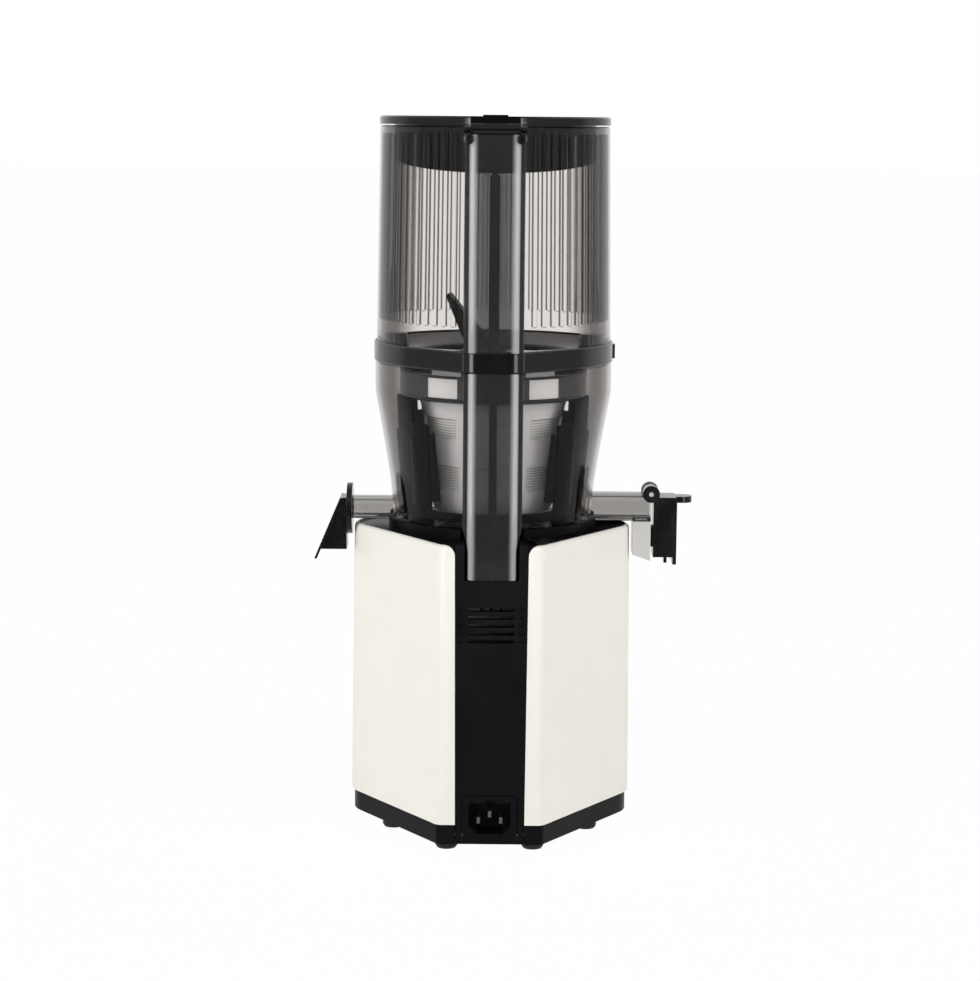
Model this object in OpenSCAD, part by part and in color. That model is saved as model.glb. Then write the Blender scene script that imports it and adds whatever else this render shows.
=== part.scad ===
// Cold press juicer: motor base, lift-off juicing bowl, auger, wiper, tall hopper and hinged lid.
// Millimetres, +Z up, origin on the drive axis at the plane the feet stand on, front towards -Y.

/* [Base] */
// Half width of the flat rear and front faces
base_rear_half_w = 32; // [28:1:36]
// Sideways reach of the side corners before rounding
base_side_x = 94; // [90:1:100]
// Corner radius at the two sides
base_side_r = 24; // [12:1:30]
// Corner radius at front and rear
base_end_r = 6; // [3:0.5:10]
// Outward flare of the cover from its top to its bottom
base_flare = 1.8; // [0:0.2:3]
// Height of the cover's top rim above the table
base_top_z = 195; // [185:1:205]
// Wall of the cover
cover_wall = 2.6; // [2:0.1:3.5]
// Width of the rear spine at its top
spine_top_w = 45; // [40:0.5:50]
// Width of the rear spine at its bottom
spine_bottom_w = 43; // [40:0.5:46]
// Height of the black skirt under the cover
skirt_h = 13; // [9:1:18]
// Height of the rubber feet
foot_h = 6; // [4:0.5:9]
// Radius of the rubber feet
foot_r = 7; // [5:0.5:9]
// Thickness of the bottom plate
plate_t = 3; // [2:0.5:4]
// Ventilation slots in the spine
vent_count = 5; // [3:1:8]
// Distance from slot to slot
vent_pitch = 5; // [4:0.5:6]

/* [Mains inlet] */
// Outer width of the inlet housing
inlet_w = 34; // [30:0.5:38]
// Outer height of the inlet housing
inlet_h = 29; // [26:0.5:32]
// Width of the inlet cavity
inlet_cavity_w = 26; // [24:0.5:28]
// Height of the inlet cavity
inlet_cavity_h = 20; // [18:0.5:22]
// Distance between the two outer contact pins
inlet_pin_pitch = 14; // [12:0.5:15]
// Depth of the inlet housing
inlet_depth = 22; // [18:1:26]

/* [Drive] */
// Radius of the drive shaft
shaft_r = 6; // [5:0.5:7]
// Corner radius of the shaft's hexagonal end
shaft_hex_r = 5.7; // [4.5:0.1:6]
// Teeth of the motor pinion
pinion_teeth = 15; // [13:1:18]
// Teeth of the large cluster gear
cluster_teeth = 75; // [60:1:80]
// Tooth module of the first stage
first_module = 0.8; // [0.7:0.05:0.9]
// Teeth of the small cluster gear
small_teeth = 15; // [13:1:18]
// Teeth of the output gear
output_teeth = 45; // [36:1:50]
// Radius of the motor's stator
stator_r = 42; // [36:1:46]
// Height of the motor's stator
stator_h = 60; // [50:1:66]
// Radius of the rotor's iron core
rotor_r = 20.7; // [18:0.1:24]

/* [Juicing bowl] */
// Outer radius of the bowl at its top
bowl_top_r = 75.5; // [72:0.5:80]
// Outer radius of the bowl where the upper cone ends
bowl_mid_r = 65.8; // [62:0.2:68]
// Outer radius of the bowl at its foot
bowl_foot_r = 63.6; // [60:0.2:64]
// Wall of the bowl
bowl_wall = 2.6; // [2:0.1:3.5]
// Height of the bowl from its foot to its rim
bowl_h = 102; // [98:1:110]
// Width of the rear column
column_w = 36.5; // [34:0.5:40]
// Width of the column's foot in the spine
column_foot_w = 30; // [26:0.5:31]
// Wall of the rear columns
column_wall = 2.2; // [1.8:0.1:3]
// How far the column's foot reaches below the rim of the base
column_foot_depth = 22; // [16:1:26]
// Distance from the bowl's widest wall back to the flat rear face
column_depth = 12.5; // [11:0.5:16]
// Gap between the side of the base and the juice nozzle
nozzle_clear = 1.9; // [1:0.1:4]
// Depth of the juice nozzle along its spout
nozzle_depth = 11.5; // [9:0.5:14]
// Gap between the side of the base and the pulp flange
flange_clear = 1.3; // [1:0.1:3]
// Thickness of the pulp flange
flange_t = 3.5; // [2.5:0.5:5]

/* [Strainer, wiper and auger] */
// Outer radius of the strainer above its windows
strainer_top_r = 46; // [43:0.5:49]
// Outer radius of the strainer at its bottom
strainer_foot_r = 39; // [37:0.5:42]
// Wall of the strainer
strainer_wall = 1.8; // [1.4:0.1:2.4]
// Mesh windows round the strainer
window_count = 12; // [8:1:16]
// Height of the upper row of windows
upper_window_h = 12; // [8:0.5:16]
// Height of the band between the two rows of windows
window_band = 16; // [10:0.5:20]
// Gap between the wiper blades and the strainer
blade_clear = 0.4; // [0.3:0.1:1]
// Outer radius of the wiper frame at its top
wiper_top_r = 61; // [58:0.5:64]
// Outer radius of the wiper frame at its foot
wiper_foot_r = 56.5; // [55:0.5:58]
// Wall of the wiper frame
wiper_wall = 2.4; // [2:0.1:3]
// Tooth module of the wiper gears
wiper_module = 1.25; // [1.1:0.05:1.3]
// Teeth of the gear under the auger
auger_teeth = 20; // [18:1:22]
// Teeth of the idler gear
idler_teeth = 30; // [28:1:30]
// Outer radius of the auger's flights at the foot
auger_r = 35; // [32:0.5:36]
// Turns of each auger flight
auger_turns = 0.75; // [0.4:0.05:1]
// Height of the cutting wing's tip above the bowl's rim
wing_rise = 42; // [30:1:46]

/* [Hopper and lid] */
// How much narrower the hopper's foot is than the bowl's rim
hopper_step = 0.7; // [0.4:0.1:2]
// How much narrower the hopper is at its top than at its foot
hopper_taper = 2.3; // [1:0.1:4]
// Wall of the hopper
hopper_wall = 2.6; // [2.2:0.1:3.4]
// Height of the hopper above the collar's seat
hopper_h = 145; // [130:1:160]
// Flutes round the inside of the hopper
flute_count = 72; // [48:2:90]
// Radius of a flute
flute_r = 1.3; // [0.8:0.1:1.6]
// Height of the collar ring
collar_h = 13; // [11:0.5:16]
// Thickness of the lid
lid_t = 5.2; // [4:0.2:7]
// Gap between the hopper's inner wall and the skirt inside the lid
lid_skirt_clear = 5.9; // [1:0.1:8]
// Depth of the lid's skirt at the rear
lid_skirt_rear = 29; // [22:1:32]
// Depth of the lid's skirt at the front
lid_skirt_front = 12; // [8:1:20]
// Radius of the lid's hinge pin
hinge_pin_r = 2; // [1.5:0.1:2.5]

/* [Juice cap and knob] */
// Height of the cap's block
cap_h = 35; // [30:1:38]
// Thickness of the cap's block
cap_t = 14; // [10:1:16]
// Length of the thumb lever from the hinge
cap_lever = 26.6; // [20:0.5:30]
// Radius of the control knob
knob_r = 17; // [14:0.5:20]

/* [Clearances] */
// Gap between pieces of different bodies
gap = 0.3; // [0.25:0.05:0.4]
// Radial running clearance of pins and shafts
running = 0.05; // [0.03:0.01:0.08]
// Gap between the hopper's rim and the lid
lid_gap = 0.8; // [0.5:0.1:1.2]

/* [Hidden] */
$fn = 96;
eps = 0.01;
slice = 0.02;
arc_step = 7.5;

// Plan of the base
base_half_d = bowl_top_r + column_depth;
side_tip_x = base_side_x - base_side_r * (1 / sin(half_angle(base_points(0), 0)) - 1);
foot_x = base_rear_half_w - 5;
opening_corner_r = 4;

// Heights of the base
skirt_top_z = foot_h + skirt_h;
deck_z = base_top_z - 5;
deck_t = 4;
seat_z = base_top_z + 2.7;
cover_rim_r = 3;
inner_inset = cover_wall + gap;
spine_t = 5;
spine_face_y = base_half_d - 1;
recess_w = column_foot_w + 3.6;
recess_wall = 2.5;
recess_floor_z = base_top_z - column_foot_depth - gap;
recess_front_y = base_half_d - 26;
inlet_front_y = spine_face_y + 0.5 - inlet_depth;
inlet_z = foot_h + 2 + inlet_h / 2;
board_w = 60;
board_d = 26;
switch_h = 14;

// Heights of the bowl
bowl_z = seat_z + gap;
bowl_floor_t = 2.5;
bowl_floor_z = bowl_z + bowl_floor_t;
bowl_rim_z = bowl_z + bowl_h;
bowl_shoulder_z = bowl_rim_z - 18;
bowl_cone_z = bowl_z + 27;
bowl_low_z = bowl_z + 7;
column_face_y = base_half_d;
column_root_y = base_half_d - 33;
column_corner_r = 5;
column_front_y = recess_front_y + 1;
column_foot_z = recess_floor_z + gap;
bowl_profile = [[bowl_foot_r - 1, bowl_z], [bowl_foot_r, bowl_z + 1], [bowl_foot_r + 0.2, bowl_low_z],
    [bowl_mid_r, bowl_cone_z], [bowl_top_r, bowl_shoulder_z], [bowl_top_r, bowl_rim_z]];

// Push rods of the interlock
rod_y = bowl_top_r + 4.5;
rod_foot_r = 2.5;
rod_r = 3.2;
rod_low_z = recess_floor_z - recess_wall + gap;

// Heights of the hopper and lid
collar_z = bowl_rim_z + gap;
hopper_z = collar_z + 3;
hopper_top_z = hopper_z + hopper_h;
lid_z = hopper_top_z + lid_gap;
hinge_y = base_half_d - 4.5;
hinge_z = lid_z - 2.7;
ear_r = 5;
ear_t = 2.6;
ear_inner_x = column_w / 2 - ear_t;
lug_w = 2 * ear_inner_x - 1.3;
hopper_foot_r = bowl_top_r - hopper_step;
hopper_top_r = hopper_foot_r - hopper_taper;
lid_skirt_r = hopper_top_r - hopper_wall - lid_skirt_clear;
opening_r = hopper_foot_r - 24.8;
guide_heights = [hopper_z + 20, hopper_z + 95];
guide_t = 2.5;
collar_turn = 32;
rod_top_z = hinge_z - 29;
plunger_z = hinge_z - 8.2;
lid_r = hopper_top_r + 0.5;
flute_low_z = hopper_z + 24;
flute_top_z = hopper_top_z - 5;
flute_slope = (hopper_foot_r - hopper_top_r) / hopper_h;

// Gear train of the base
train_distance = first_module * (pinion_teeth + cluster_teeth) / 2;
second_module = 2 * train_distance / (small_teeth + output_teeth);
output_room_r = second_module * output_teeth / 2 + 6;
cluster_room_r = first_module * cluster_teeth / 2 + 4;
gearbox_z = 108;
gearbox_wall = 3;
gearbox_top_z = 146;
first_gear_z = gearbox_z + gearbox_wall + 5;
first_gear_t = 8;
second_gear_z = first_gear_z + first_gear_t + 3;
second_gear_t = 12;
stator_z = gearbox_z - 8 - stator_h;
bracket_t = 4;
post_places = [for (a = [45 : 90 : 315]) (stator_r - 6) * [cos(a), sin(a)]];
fan_z = foot_h + plate_t + 7;
fan_h = 9;
cluster_turn = 180 + 180 / cluster_teeth;
small_turn = 180 + 180 / small_teeth;
cluster_pin_r = 2.5;
rotor_shaft_r = 3;
bearing_r = 13;
bearing_h = 8;
shaft_top_z = bowl_floor_z + 21.5;

// Gear train of the bowl
idler_distance = wiper_module * (auger_teeth + idler_teeth) / 2;
ring_teeth = auger_teeth + 2 * idler_teeth;
bowl_gear_z = bowl_floor_z + 1.5;
bowl_gear_t = 5.5;
idler_pin_r = 3;
auger_disc_z = bowl_gear_z + bowl_gear_t + 1;
auger_body_z = auger_disc_z + 3;
auger_top_z = bowl_rim_z - 37.5;
auger_core_r = 19;
neck_r = 11;
strainer_z = auger_disc_z + 0.8;
strainer_shoulder_z = bowl_shoulder_z - 3;
strainer_flange_z = bowl_rim_z - 5;
strainer_neck_z = strainer_shoulder_z - 8;
upper_ring_r = wiper_top_r - 1;
window_top_z = strainer_neck_z - 7.5;
window_rows = [[bowl_floor_z + 16, window_top_z - upper_window_h - window_band],
    [window_top_z - upper_window_h, window_top_z]];
wiper_top_z = window_top_z;
ring_top_z = bowl_gear_z + 6;
panel_half_angle = 50;
blade_low_z = ring_top_z + 4;
blade_top_z = wiper_top_z - 8;
blade_angles = [-33, 0, 33];
blade_t = 2.4;
blade_slot_half = 8;
ring_bore_r = ring_teeth * wiper_module / 2 - 0.85 * wiper_module - 0.4;

// Juice and pulp spouts
spout_half_w = 10;
spout_low_z = bowl_z - 0.5;
spout_root_x = bowl_foot_r - 4;
juice_reach = side_tip_x + nozzle_clear + nozzle_depth;
juice_top_z = bowl_floor_z + 14.5;
juice_bore_half_w = 7;
pulp_top_z = bowl_floor_z + 9;
pulp_half_w = 9;
nozzle_outer_x = juice_reach;
nozzle_inner_x = juice_reach - nozzle_depth;
nozzle_mouth_z = bowl_z - 26;
cap_axis_x = -juice_reach;
cap_axis_z = juice_top_z + 0.5;
cap_knuckle_r = 5.5;
cap_pin_r = 1.5;
flange_x = side_tip_x + flange_clear;
chute_x = flange_x + flange_t;
pulp_reach = chute_x - 2.4;
chute_bottom_z = bowl_z - 20;
chute_slope = 0.42;
chute_top_z = pulp_top_z + 2;

// Control knob on the front face
knob_z = 120;
knob_t = 14;
knob_seat_y = -base_half_d - cover_flare(knob_z - knob_r);

function unit(v) = v / norm(v);
function corner_in(points, i) = unit(points[(i + len(points) - 1) % len(points)] - points[i]);
function corner_out(points, i) = unit(points[(i + 1) % len(points)] - points[i]);
function half_angle(points, i) = acos(corner_in(points, i) * corner_out(points, i)) / 2;
function involute(angle) = tan(angle) * 180 / PI - angle;

// Six-sided plan of the base, moved inwards by the inset.
function base_points(inset) = let (
    face = norm([base_side_x - base_rear_half_w, base_half_d]),
    side = base_side_x - inset * face / base_half_d,
    end_y = base_half_d - inset,
    end_x = side - end_y / base_half_d * (base_side_x - base_rear_half_w))
    [[side, 0], [end_x, end_y], [-end_x, end_y], [-side, 0], [-end_x, -end_y], [end_x, -end_y]];

// Points of one rounded corner, from its incoming to its outgoing side.
function corner_arc(points, i, r) = let (
    turn = 180 - 2 * half_angle(points, i),
    middle = points[i] + unit(corner_in(points, i) + corner_out(points, i)) * r / sin(half_angle(points, i)),
    start = points[i] + r / tan(half_angle(points, i)) * corner_in(points, i) - middle,
    steps = max(3, ceil(turn / arc_step)))
    [for (k = [0 : steps]) let (a = k * turn / steps)
        middle + [start[0] * cos(a) - start[1] * sin(a), start[0] * sin(a) + start[1] * cos(a)]];

// Convex polygon, listed anticlockwise, whose corners are rounded to the given radii.
module rounded_outline(points, radii) {
    polygon([for (i = [0 : len(points) - 1]) each corner_arc(points, i, radii[i])]);
}

module base_outline(inset) {
    side_r = max(base_side_r - inset, 1);
    end_r = max(base_end_r - inset, 1);
    rounded_outline(base_points(inset), [side_r, end_r, end_r, side_r, end_r, end_r]);
}

module rounded_box_outline(w, h, r) {
    rounded_outline([[w / 2, h / 2], [-w / 2, h / 2], [-w / 2, -h / 2], [w / 2, -h / 2]], [r, r, r, r]);
}

module tube(r, bore_r, h) {
    difference() {
        cylinder(r = r, h = h);
        translate([0, 0, -1]) cylinder(r = bore_r, h = h + 2);
    }
}

// Extrudes an outline drawn in the X-Z plane along +Y, centred on Y = 0.
module extrude_y(depth) {
    translate([0, depth / 2, 0]) rotate([90, 0, 0]) linear_extrude(depth) children();
}

// Extrudes an outline drawn in the Y-Z plane along +X.
module extrude_x(length) {
    rotate([90, 0, 90]) linear_extrude(length) children();
}

// Pie slice in plan, centred on the given direction.
module wedge(direction, half_width, reach) {
    rotate(direction) polygon([[0, 0], for (side = [-1, -0.5, 0, 0.5, 1])
        reach / cos(half_width / 2) * [cos(side * half_width), sin(side * half_width)]]);
}

// Involute gear outline; wider teeth make the space cutter of an internal ring.
module gear_outline(teeth, tooth_module, addendum, dedendum, half_tooth) {
    pitch_r = teeth * tooth_module / 2;
    base_r = pitch_r * cos(20);
    tip_r = pitch_r + addendum;
    root_r = pitch_r - dedendum;
    start_r = max(root_r, base_r * 1.0001);
    steps = 4;
    radii = [for (i = [0 : steps]) start_r + (tip_r - start_r) * i / steps];
    flank = [for (r = radii) half_tooth + involute(20) - involute(acos(base_r / r))];
    polygon([for (t = [0 : teeth - 1]) let (c = t * 360 / teeth) each concat(
        [root_r * [cos(c - flank[0]), sin(c - flank[0])]],
        [for (i = [0 : steps]) radii[i] * [cos(c - flank[i]), sin(c - flank[i])]],
        [for (i = [steps : -1 : 0]) radii[i] * [cos(c + flank[i]), sin(c + flank[i])]],
        [root_r * [cos(c + flank[0]), sin(c + flank[0])]])]);
}

module spur_gear(teeth, tooth_module, thickness) {
    half_tooth = 90 / teeth - backlash(teeth, tooth_module);
    linear_extrude(thickness)
        gear_outline(teeth, tooth_module, 0.85 * tooth_module, 1.2 * tooth_module, half_tooth);
}

// Half of the play between meshed teeth, as an angle at the pitch circle.
function backlash(teeth, tooth_module) = asin(0.09 / (teeth * tooth_module / 2));

// ---------- Base ----------

// Opening of the cover for the spine, wider at the top, with the given clearance.
module spine_opening(clear) {
    low_z = foot_h;
    slope = (spine_top_w - spine_bottom_w) / (base_top_z - skirt_top_z) / 2;
    bottom_half = spine_bottom_w / 2 - slope * (skirt_top_z - low_z) + clear;
    top_half = spine_top_w / 2 + clear;
    polygon([[-bottom_half, low_z], [bottom_half, low_z], [top_half, base_top_z], [-top_half, base_top_z]]);
}

// Cutter of the cover and skirt; its upper corners round the rim of the cover.
module spine_cutter() {
    corner_x = spine_top_w / 2 + gap / 2;
    corner_z = base_top_z - opening_corner_r;
    translate([0, base_half_d, 0]) extrude_y(50) {
        spine_opening(gap / 2);
        for (side = [-1, 1]) difference() {
            translate([side * corner_x - (side < 0 ? opening_corner_r : 0), corner_z])
                square([opening_corner_r, opening_corner_r + 1]);
            translate([side * (corner_x + opening_corner_r), corner_z]) circle(r = opening_corner_r);
        }
    }
}

// How far the cover stands out of its upper plan at a height.
function cover_flare(z) = base_flare
    * (base_top_z - cover_rim_r - z) / (base_top_z - cover_rim_r - skirt_top_z);

// Outer form of the cover: flared down, with a rounded upper rim.
module cover_form() hull() {
    translate([0, 0, skirt_top_z]) linear_extrude(slice) base_outline(-base_flare);
    for (a = [0, 30, 60, 90])
        translate([0, 0, base_top_z - cover_rim_r + (cover_rim_r - slice) * sin(a)])
            linear_extrude(slice) base_outline(cover_rim_r * 0.8 * (1 - cos(a)));
}

module base_cover() color("ivory") difference() {
    cover_form();
    translate([0, 0, skirt_top_z - 1]) linear_extrude(base_top_z) base_outline(cover_wall);
    spine_cutter();
    translate([0, -base_half_d, knob_z]) rotate([90, 0, 0]) cylinder(r = 8 + gap, h = 20, center = true);
}

module recess_outline(extra) {
    translate([-recess_w / 2 - extra, recess_front_y - extra])
        square([recess_w + 2 * extra, base_half_d - recess_front_y + 2 * extra]);
}

module base_spine() color("#161616") difference() {
    union() {
        intersection() {
            translate([0, spine_face_y - spine_t / 2, 0]) extrude_y(spine_t) spine_opening(0);
            translate([0, 0, foot_h]) linear_extrude(base_top_z) base_outline(0.5);
        }
        translate([0, 0, recess_floor_z - recess_wall])
            linear_extrude(deck_z - recess_floor_z + recess_wall + deck_t) difference() {
                recess_outline(recess_wall);
                translate([-base_side_x, spine_face_y]) square([2 * base_side_x, 20]);
            }
    }
    translate([0, 0, recess_floor_z]) linear_extrude(base_top_z) recess_outline(0);
    translate([0, rod_y, recess_floor_z - recess_wall - 1]) cylinder(r = 4, h = 10);
    for (i = [0 : vent_count - 1])
        translate([0, spine_face_y, base_top_z - 40.3 - i * vent_pitch]) {
            extrude_y(2 * spine_t + 2) rounded_box_outline(29, 2.2, 1);
            for (side = [-1, 1]) translate([side * 19, 0, 0])
                extrude_y(3) rounded_box_outline(4, 1.6, 0.7);
        }
    translate([0, spine_face_y, foot_h + 2 + inlet_h / 2])
        extrude_y(2 * spine_t + 2) rounded_box_outline(inlet_w + gap, inlet_h + gap, 3);
}

module base_deck() color("#1b1b1b") difference() {
    union() {
        translate([0, 0, deck_z]) linear_extrude(deck_t) base_outline(inner_inset);
        translate([0, 0, deck_z]) cylinder(r = bowl_foot_r - 6, h = seat_z - deck_z);
        translate([0, 0, deck_z]) tube(bowl_foot_r + 3.4, bowl_foot_r + 1, seat_z - deck_z + 3);
        translate([0, 0, gearbox_top_z + 12]) cylinder(r = bearing_r + 3, h = deck_z - gearbox_top_z - 11);
    }
    translate([0, 0, deck_z - 4]) cylinder(r = bearing_r - 3, h = 30);
    translate([0, 0, gearbox_top_z]) cylinder(r = bearing_r, h = deck_z - gearbox_top_z - 2);
    translate([0, 0, deck_z - 1]) linear_extrude(30) recess_outline(recess_wall + gap);
    translate([0, spine_face_y - spine_t - gap + 25, 0]) extrude_y(50) spine_opening(gap);
    for (side = [-1, 1]) translate([side * (bowl_foot_r + 6), 0, deck_z + deck_t + 15])
        cube([20, 2 * spout_half_w + 2, 30], center = true);
}

module skirt_ring(inset, wall, z, h) {
    translate([0, 0, z]) linear_extrude(h) difference() {
        base_outline(inset);
        base_outline(inset + wall);
    }
}

module base_skirt() color("#141414") difference() {
    union() {
        skirt_ring(0, 4, foot_h, skirt_h);
        skirt_ring(cover_wall + gap, 2, skirt_top_z - 1, 7);
    }
    spine_cutter();
}

module bottom_plate() color("#202020") difference() {
    translate([0, 0, foot_h]) linear_extrude(plate_t) base_outline(4 + gap);
    translate([-spine_bottom_w / 2 - gap, inlet_front_y - gap, 0])
        cube([spine_bottom_w + 2 * gap, inlet_depth + 20, 40]);
    for (p = foot_places()) translate([p[0], p[1], 0]) cylinder(r = 2 + running, h = 20);
    for (p = screw_places()) translate([p[0], p[1], 0]) cylinder(r = 2 + running, h = 20);
    for (x = [-24 : 8 : 24]) translate([x, -14, foot_h - 1]) linear_extrude(plate_t + 2)
        rounded_box_outline(3, 30, 1.4);
}

function four_places(x, y) = [for (i = [-1, 1], j = [-1, 1]) [i * x, j * y]];
function foot_places() = concat(four_places(foot_x, base_half_d - 16),
    four_places(base_side_x - 32, foot_x));
function screw_places() = four_places(base_rear_half_w + 12, base_half_d - 42);

// Rubber feet, each with a stem through the bottom plate.
module feet() color("#101010") for (p = foot_places()) translate([p[0], p[1], 0]) {
    cylinder(r1 = foot_r - 1, r2 = foot_r, h = 1.5);
    translate([0, 0, 1.5]) cylinder(r = foot_r, h = foot_h - 1.5);
    translate([0, 0, foot_h - eps]) cylinder(r = 2, h = plate_t + 1);
}

module plate_screws() color("silver") for (p = screw_places()) translate([p[0], p[1], foot_h - 2.2]) {
    difference() {
        cylinder(r = 3.6, h = 2.2);
        translate([0, 0, -1]) cylinder(r = 1.6, h = 2.2, $fn = 6);
    }
    translate([0, 0, 2.2 - eps]) cylinder(r = 2, h = plate_t + 4);
}

// Inlet outline: a rounded rectangle; the cavity has two cut lower corners and a key notch.
module cavity_outline() {
    w = inlet_cavity_w / 2;
    h = inlet_cavity_h / 2;
    cut = 5;
    polygon([[-w, h], [-3, h], [-3, h + 1.5], [3, h + 1.5], [3, h], [w, h], [w, cut - h], [w - cut, -h],
        [cut - w, -h], [-w, cut - h]]);
}

module inlet_housing() color("#0e0e0e") translate([0, inlet_front_y + inlet_depth / 2, inlet_z])
    difference() {
        extrude_y(inlet_depth) rounded_box_outline(inlet_w, inlet_h, 3);
        translate([0, 4, 0]) extrude_y(inlet_depth) cavity_outline();
        for (p = pin_places()) translate([p[0], 0, p[1]]) cube([2.1, inlet_depth + 2, 4.1], center = true);
    }

function pin_places() = [[-inlet_pin_pitch / 2, -2], [inlet_pin_pitch / 2, -2], [0, 2]];

module inlet_pins() color("silver") for (p = pin_places())
    translate([p[0], spine_face_y - inlet_depth / 2 - 2, inlet_z + p[1]])
        cube([2, inlet_depth - 2, 4], center = true);

// ---------- Drive ----------

// Plan of the gearbox round its two gear axes.
module gearbox_outline(extra) {
    circle(r = output_room_r + extra);
    translate([train_distance, 0]) circle(r = cluster_room_r + extra);
    translate([0, -output_room_r - extra]) square([train_distance, 2 * (output_room_r + extra)]);
}

module gearbox_housing() color("dimgray") difference() {
    union() {
        translate([0, 0, gearbox_z]) linear_extrude(gearbox_top_z - gearbox_z) gearbox_outline(gearbox_wall);
        for (p = post_places) translate([p[0], p[1], stator_z + stator_h]) cylinder(r = 3.5, h = 9);
    }
    translate([0, 0, gearbox_z + gearbox_wall]) linear_extrude(60) gearbox_outline(0);
    translate([0, 0, gearbox_z - 1]) cylinder(r = rotor_shaft_r + running, h = 20);
    translate([train_distance, 0, gearbox_z - 1]) cylinder(r = cluster_pin_r + running, h = 20);
}

module gearbox_cover() color("gray") difference() {
    union() {
        translate([0, 0, gearbox_top_z]) linear_extrude(gearbox_wall) gearbox_outline(gearbox_wall);
        for (x = [-20, train_distance + 20]) translate([x, 0, gearbox_top_z + gearbox_wall - eps])
            cylinder(r = 4, h = deck_z - gearbox_top_z - gearbox_wall + eps);
    }
    translate([0, 0, gearbox_top_z - 1]) cylinder(r = shaft_r + 1, h = 60);
    translate([0, 0, gearbox_top_z + gearbox_wall - 1]) cylinder(r = bearing_r + gap, h = 2);
    translate([train_distance, 0, gearbox_top_z - 1]) cylinder(r = cluster_pin_r + running, h = 60);
}

module motor_stator() color("silver") translate([0, 0, stator_z]) {
    difference() {
        cylinder(r = stator_r, h = stator_h);
        translate([0, 0, -1]) cylinder(r = rotor_r + 0.4, h = stator_h + 2);
        for (a = [0 : 60 : 300]) rotate(a) translate([rotor_r + 7, 0, -1]) cylinder(r = 4, h = stator_h + 2);
    }
}

// Lower end bracket that carries the rotor's lower journal and stands on the bottom plate.
module motor_bracket() color("dimgray") difference() {
    union() {
        translate([0, 0, stator_z - bracket_t]) cylinder(r = stator_r, h = bracket_t);
        for (p = post_places) translate([p[0], p[1], foot_h + plate_t])
            cylinder(r = 3.5, h = stator_z - bracket_t - foot_h - plate_t + eps);
    }
    translate([0, 0, stator_z - bracket_t - 1]) cylinder(r = rotor_shaft_r + running, h = bracket_t + 2);
    for (a = [0 : 45 : 315]) rotate(a) translate([15, 0, stator_z - bracket_t - 1])
        cylinder(r = 4, h = bracket_t + 2);
}

module motor_rotor() color("darkgray") union() {
    translate([0, 0, fan_z - 2]) cylinder(r = rotor_shaft_r, h = first_gear_z - fan_z + 3);
    translate([0, 0, stator_z + 4]) cylinder(r = rotor_r, h = stator_h - 8);
    translate([0, 0, first_gear_z]) spur_gear(pinion_teeth, first_module, first_gear_t + 1);
}

module cooling_fan() color("black") translate([0, 0, fan_z]) difference() {
    union() {
        cylinder(r = 7, h = fan_h);
        cylinder(r = 28, h = 1.6);
        for (a = [0 : 40 : 320]) rotate(a) translate([5, -0.7, 0]) cube([23, 1.4, fan_h]);
    }
    translate([0, 0, -1]) cylinder(r = rotor_shaft_r, h = fan_h + 2);
}

module gear_cluster() color("gainsboro") translate([train_distance, 0, first_gear_z]) difference() {
    union() {
        rotate(cluster_turn) spur_gear(cluster_teeth, first_module, first_gear_t);
        translate([0, 0, first_gear_t - eps]) rotate(small_turn)
            spur_gear(small_teeth, second_module,
                second_gear_z - first_gear_z - first_gear_t + second_gear_t + eps);
    }
    translate([0, 0, -1]) cylinder(r = cluster_pin_r + running, h = 60);
}

module cluster_pin() color("silver") translate([train_distance, 0, gearbox_z])
    cylinder(r = cluster_pin_r, h = gearbox_top_z + gearbox_wall - gearbox_z);

module output_gear() color("whitesmoke") translate([0, 0, second_gear_z]) difference() {
    spur_gear(output_teeth, second_module, second_gear_t);
    translate([0, 0, -1]) cylinder(r = shaft_r, h = second_gear_t + 2);
}

module drive_shaft() color("silver") union() {
    translate([0, 0, second_gear_z - 1]) cylinder(r = shaft_r, h = bowl_floor_z - second_gear_z + 1);
    translate([0, 0, bowl_floor_z - eps])
        cylinder(r = shaft_hex_r, h = shaft_top_z - bowl_floor_z - 2 + eps, $fn = 6);
    translate([0, 0, shaft_top_z - 2 - eps]) cylinder(r1 = shaft_hex_r - 0.8, r2 = 3, h = 2);
}

module shaft_bearing() color("silver") translate([0, 0, gearbox_top_z + gearbox_wall])
    tube(bearing_r, shaft_r + running, bearing_h);

module shaft_seal() color("#101010") translate([0, 0, deck_z - 1]) difference() {
    cylinder(r = bearing_r - 3, h = seat_z - deck_z + 1);
    translate([0, 0, -1]) cylinder(r = shaft_r + running, h = 30);
}

module circuit_board() color("seagreen") translate([-board_w / 2, 22 - base_half_d, foot_h + plate_t]) {
    translate([0, 0, 5]) cube([board_w, board_d, 1.6]);
    for (x = [4, board_w - 4], y = [4, board_d - 4]) translate([x, y, 0]) cylinder(r = 2, h = 5 + eps);
    translate([8, 5, 6.6 - eps]) cube([14, 12, 12]);
    for (x = [32, 46]) translate([x, 12, 6.6 - eps]) cylinder(r = 5, h = 20);
}

// Safety switch hung under the recess; its plunger is pressed through the hole in the recess floor.
module safety_switch() color("#2a2a2a") translate([0, rod_y, recess_floor_z - recess_wall - switch_h]) {
    translate([-10, -8, 0]) cube([20, 9.5, switch_h]);
    for (x = [-6, 0, 6]) translate([x - 1, -3.4, -6]) cube([2, 0.8, 6 + eps]);
}

module rotary_switch() color("#303030") translate([0, cover_wall - base_half_d, knob_z]) {
    translate([-14, 0, -14]) cube([28, 16, 28]);
    rotate([90, 0, 0]) cylinder(r = 8, h = cover_wall - base_half_d - knob_seat_y);
    for (x = [-8, 0, 8]) translate([x - 1.5, 16 - eps, -4]) cube([3, 7, 0.8]);
}

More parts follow.
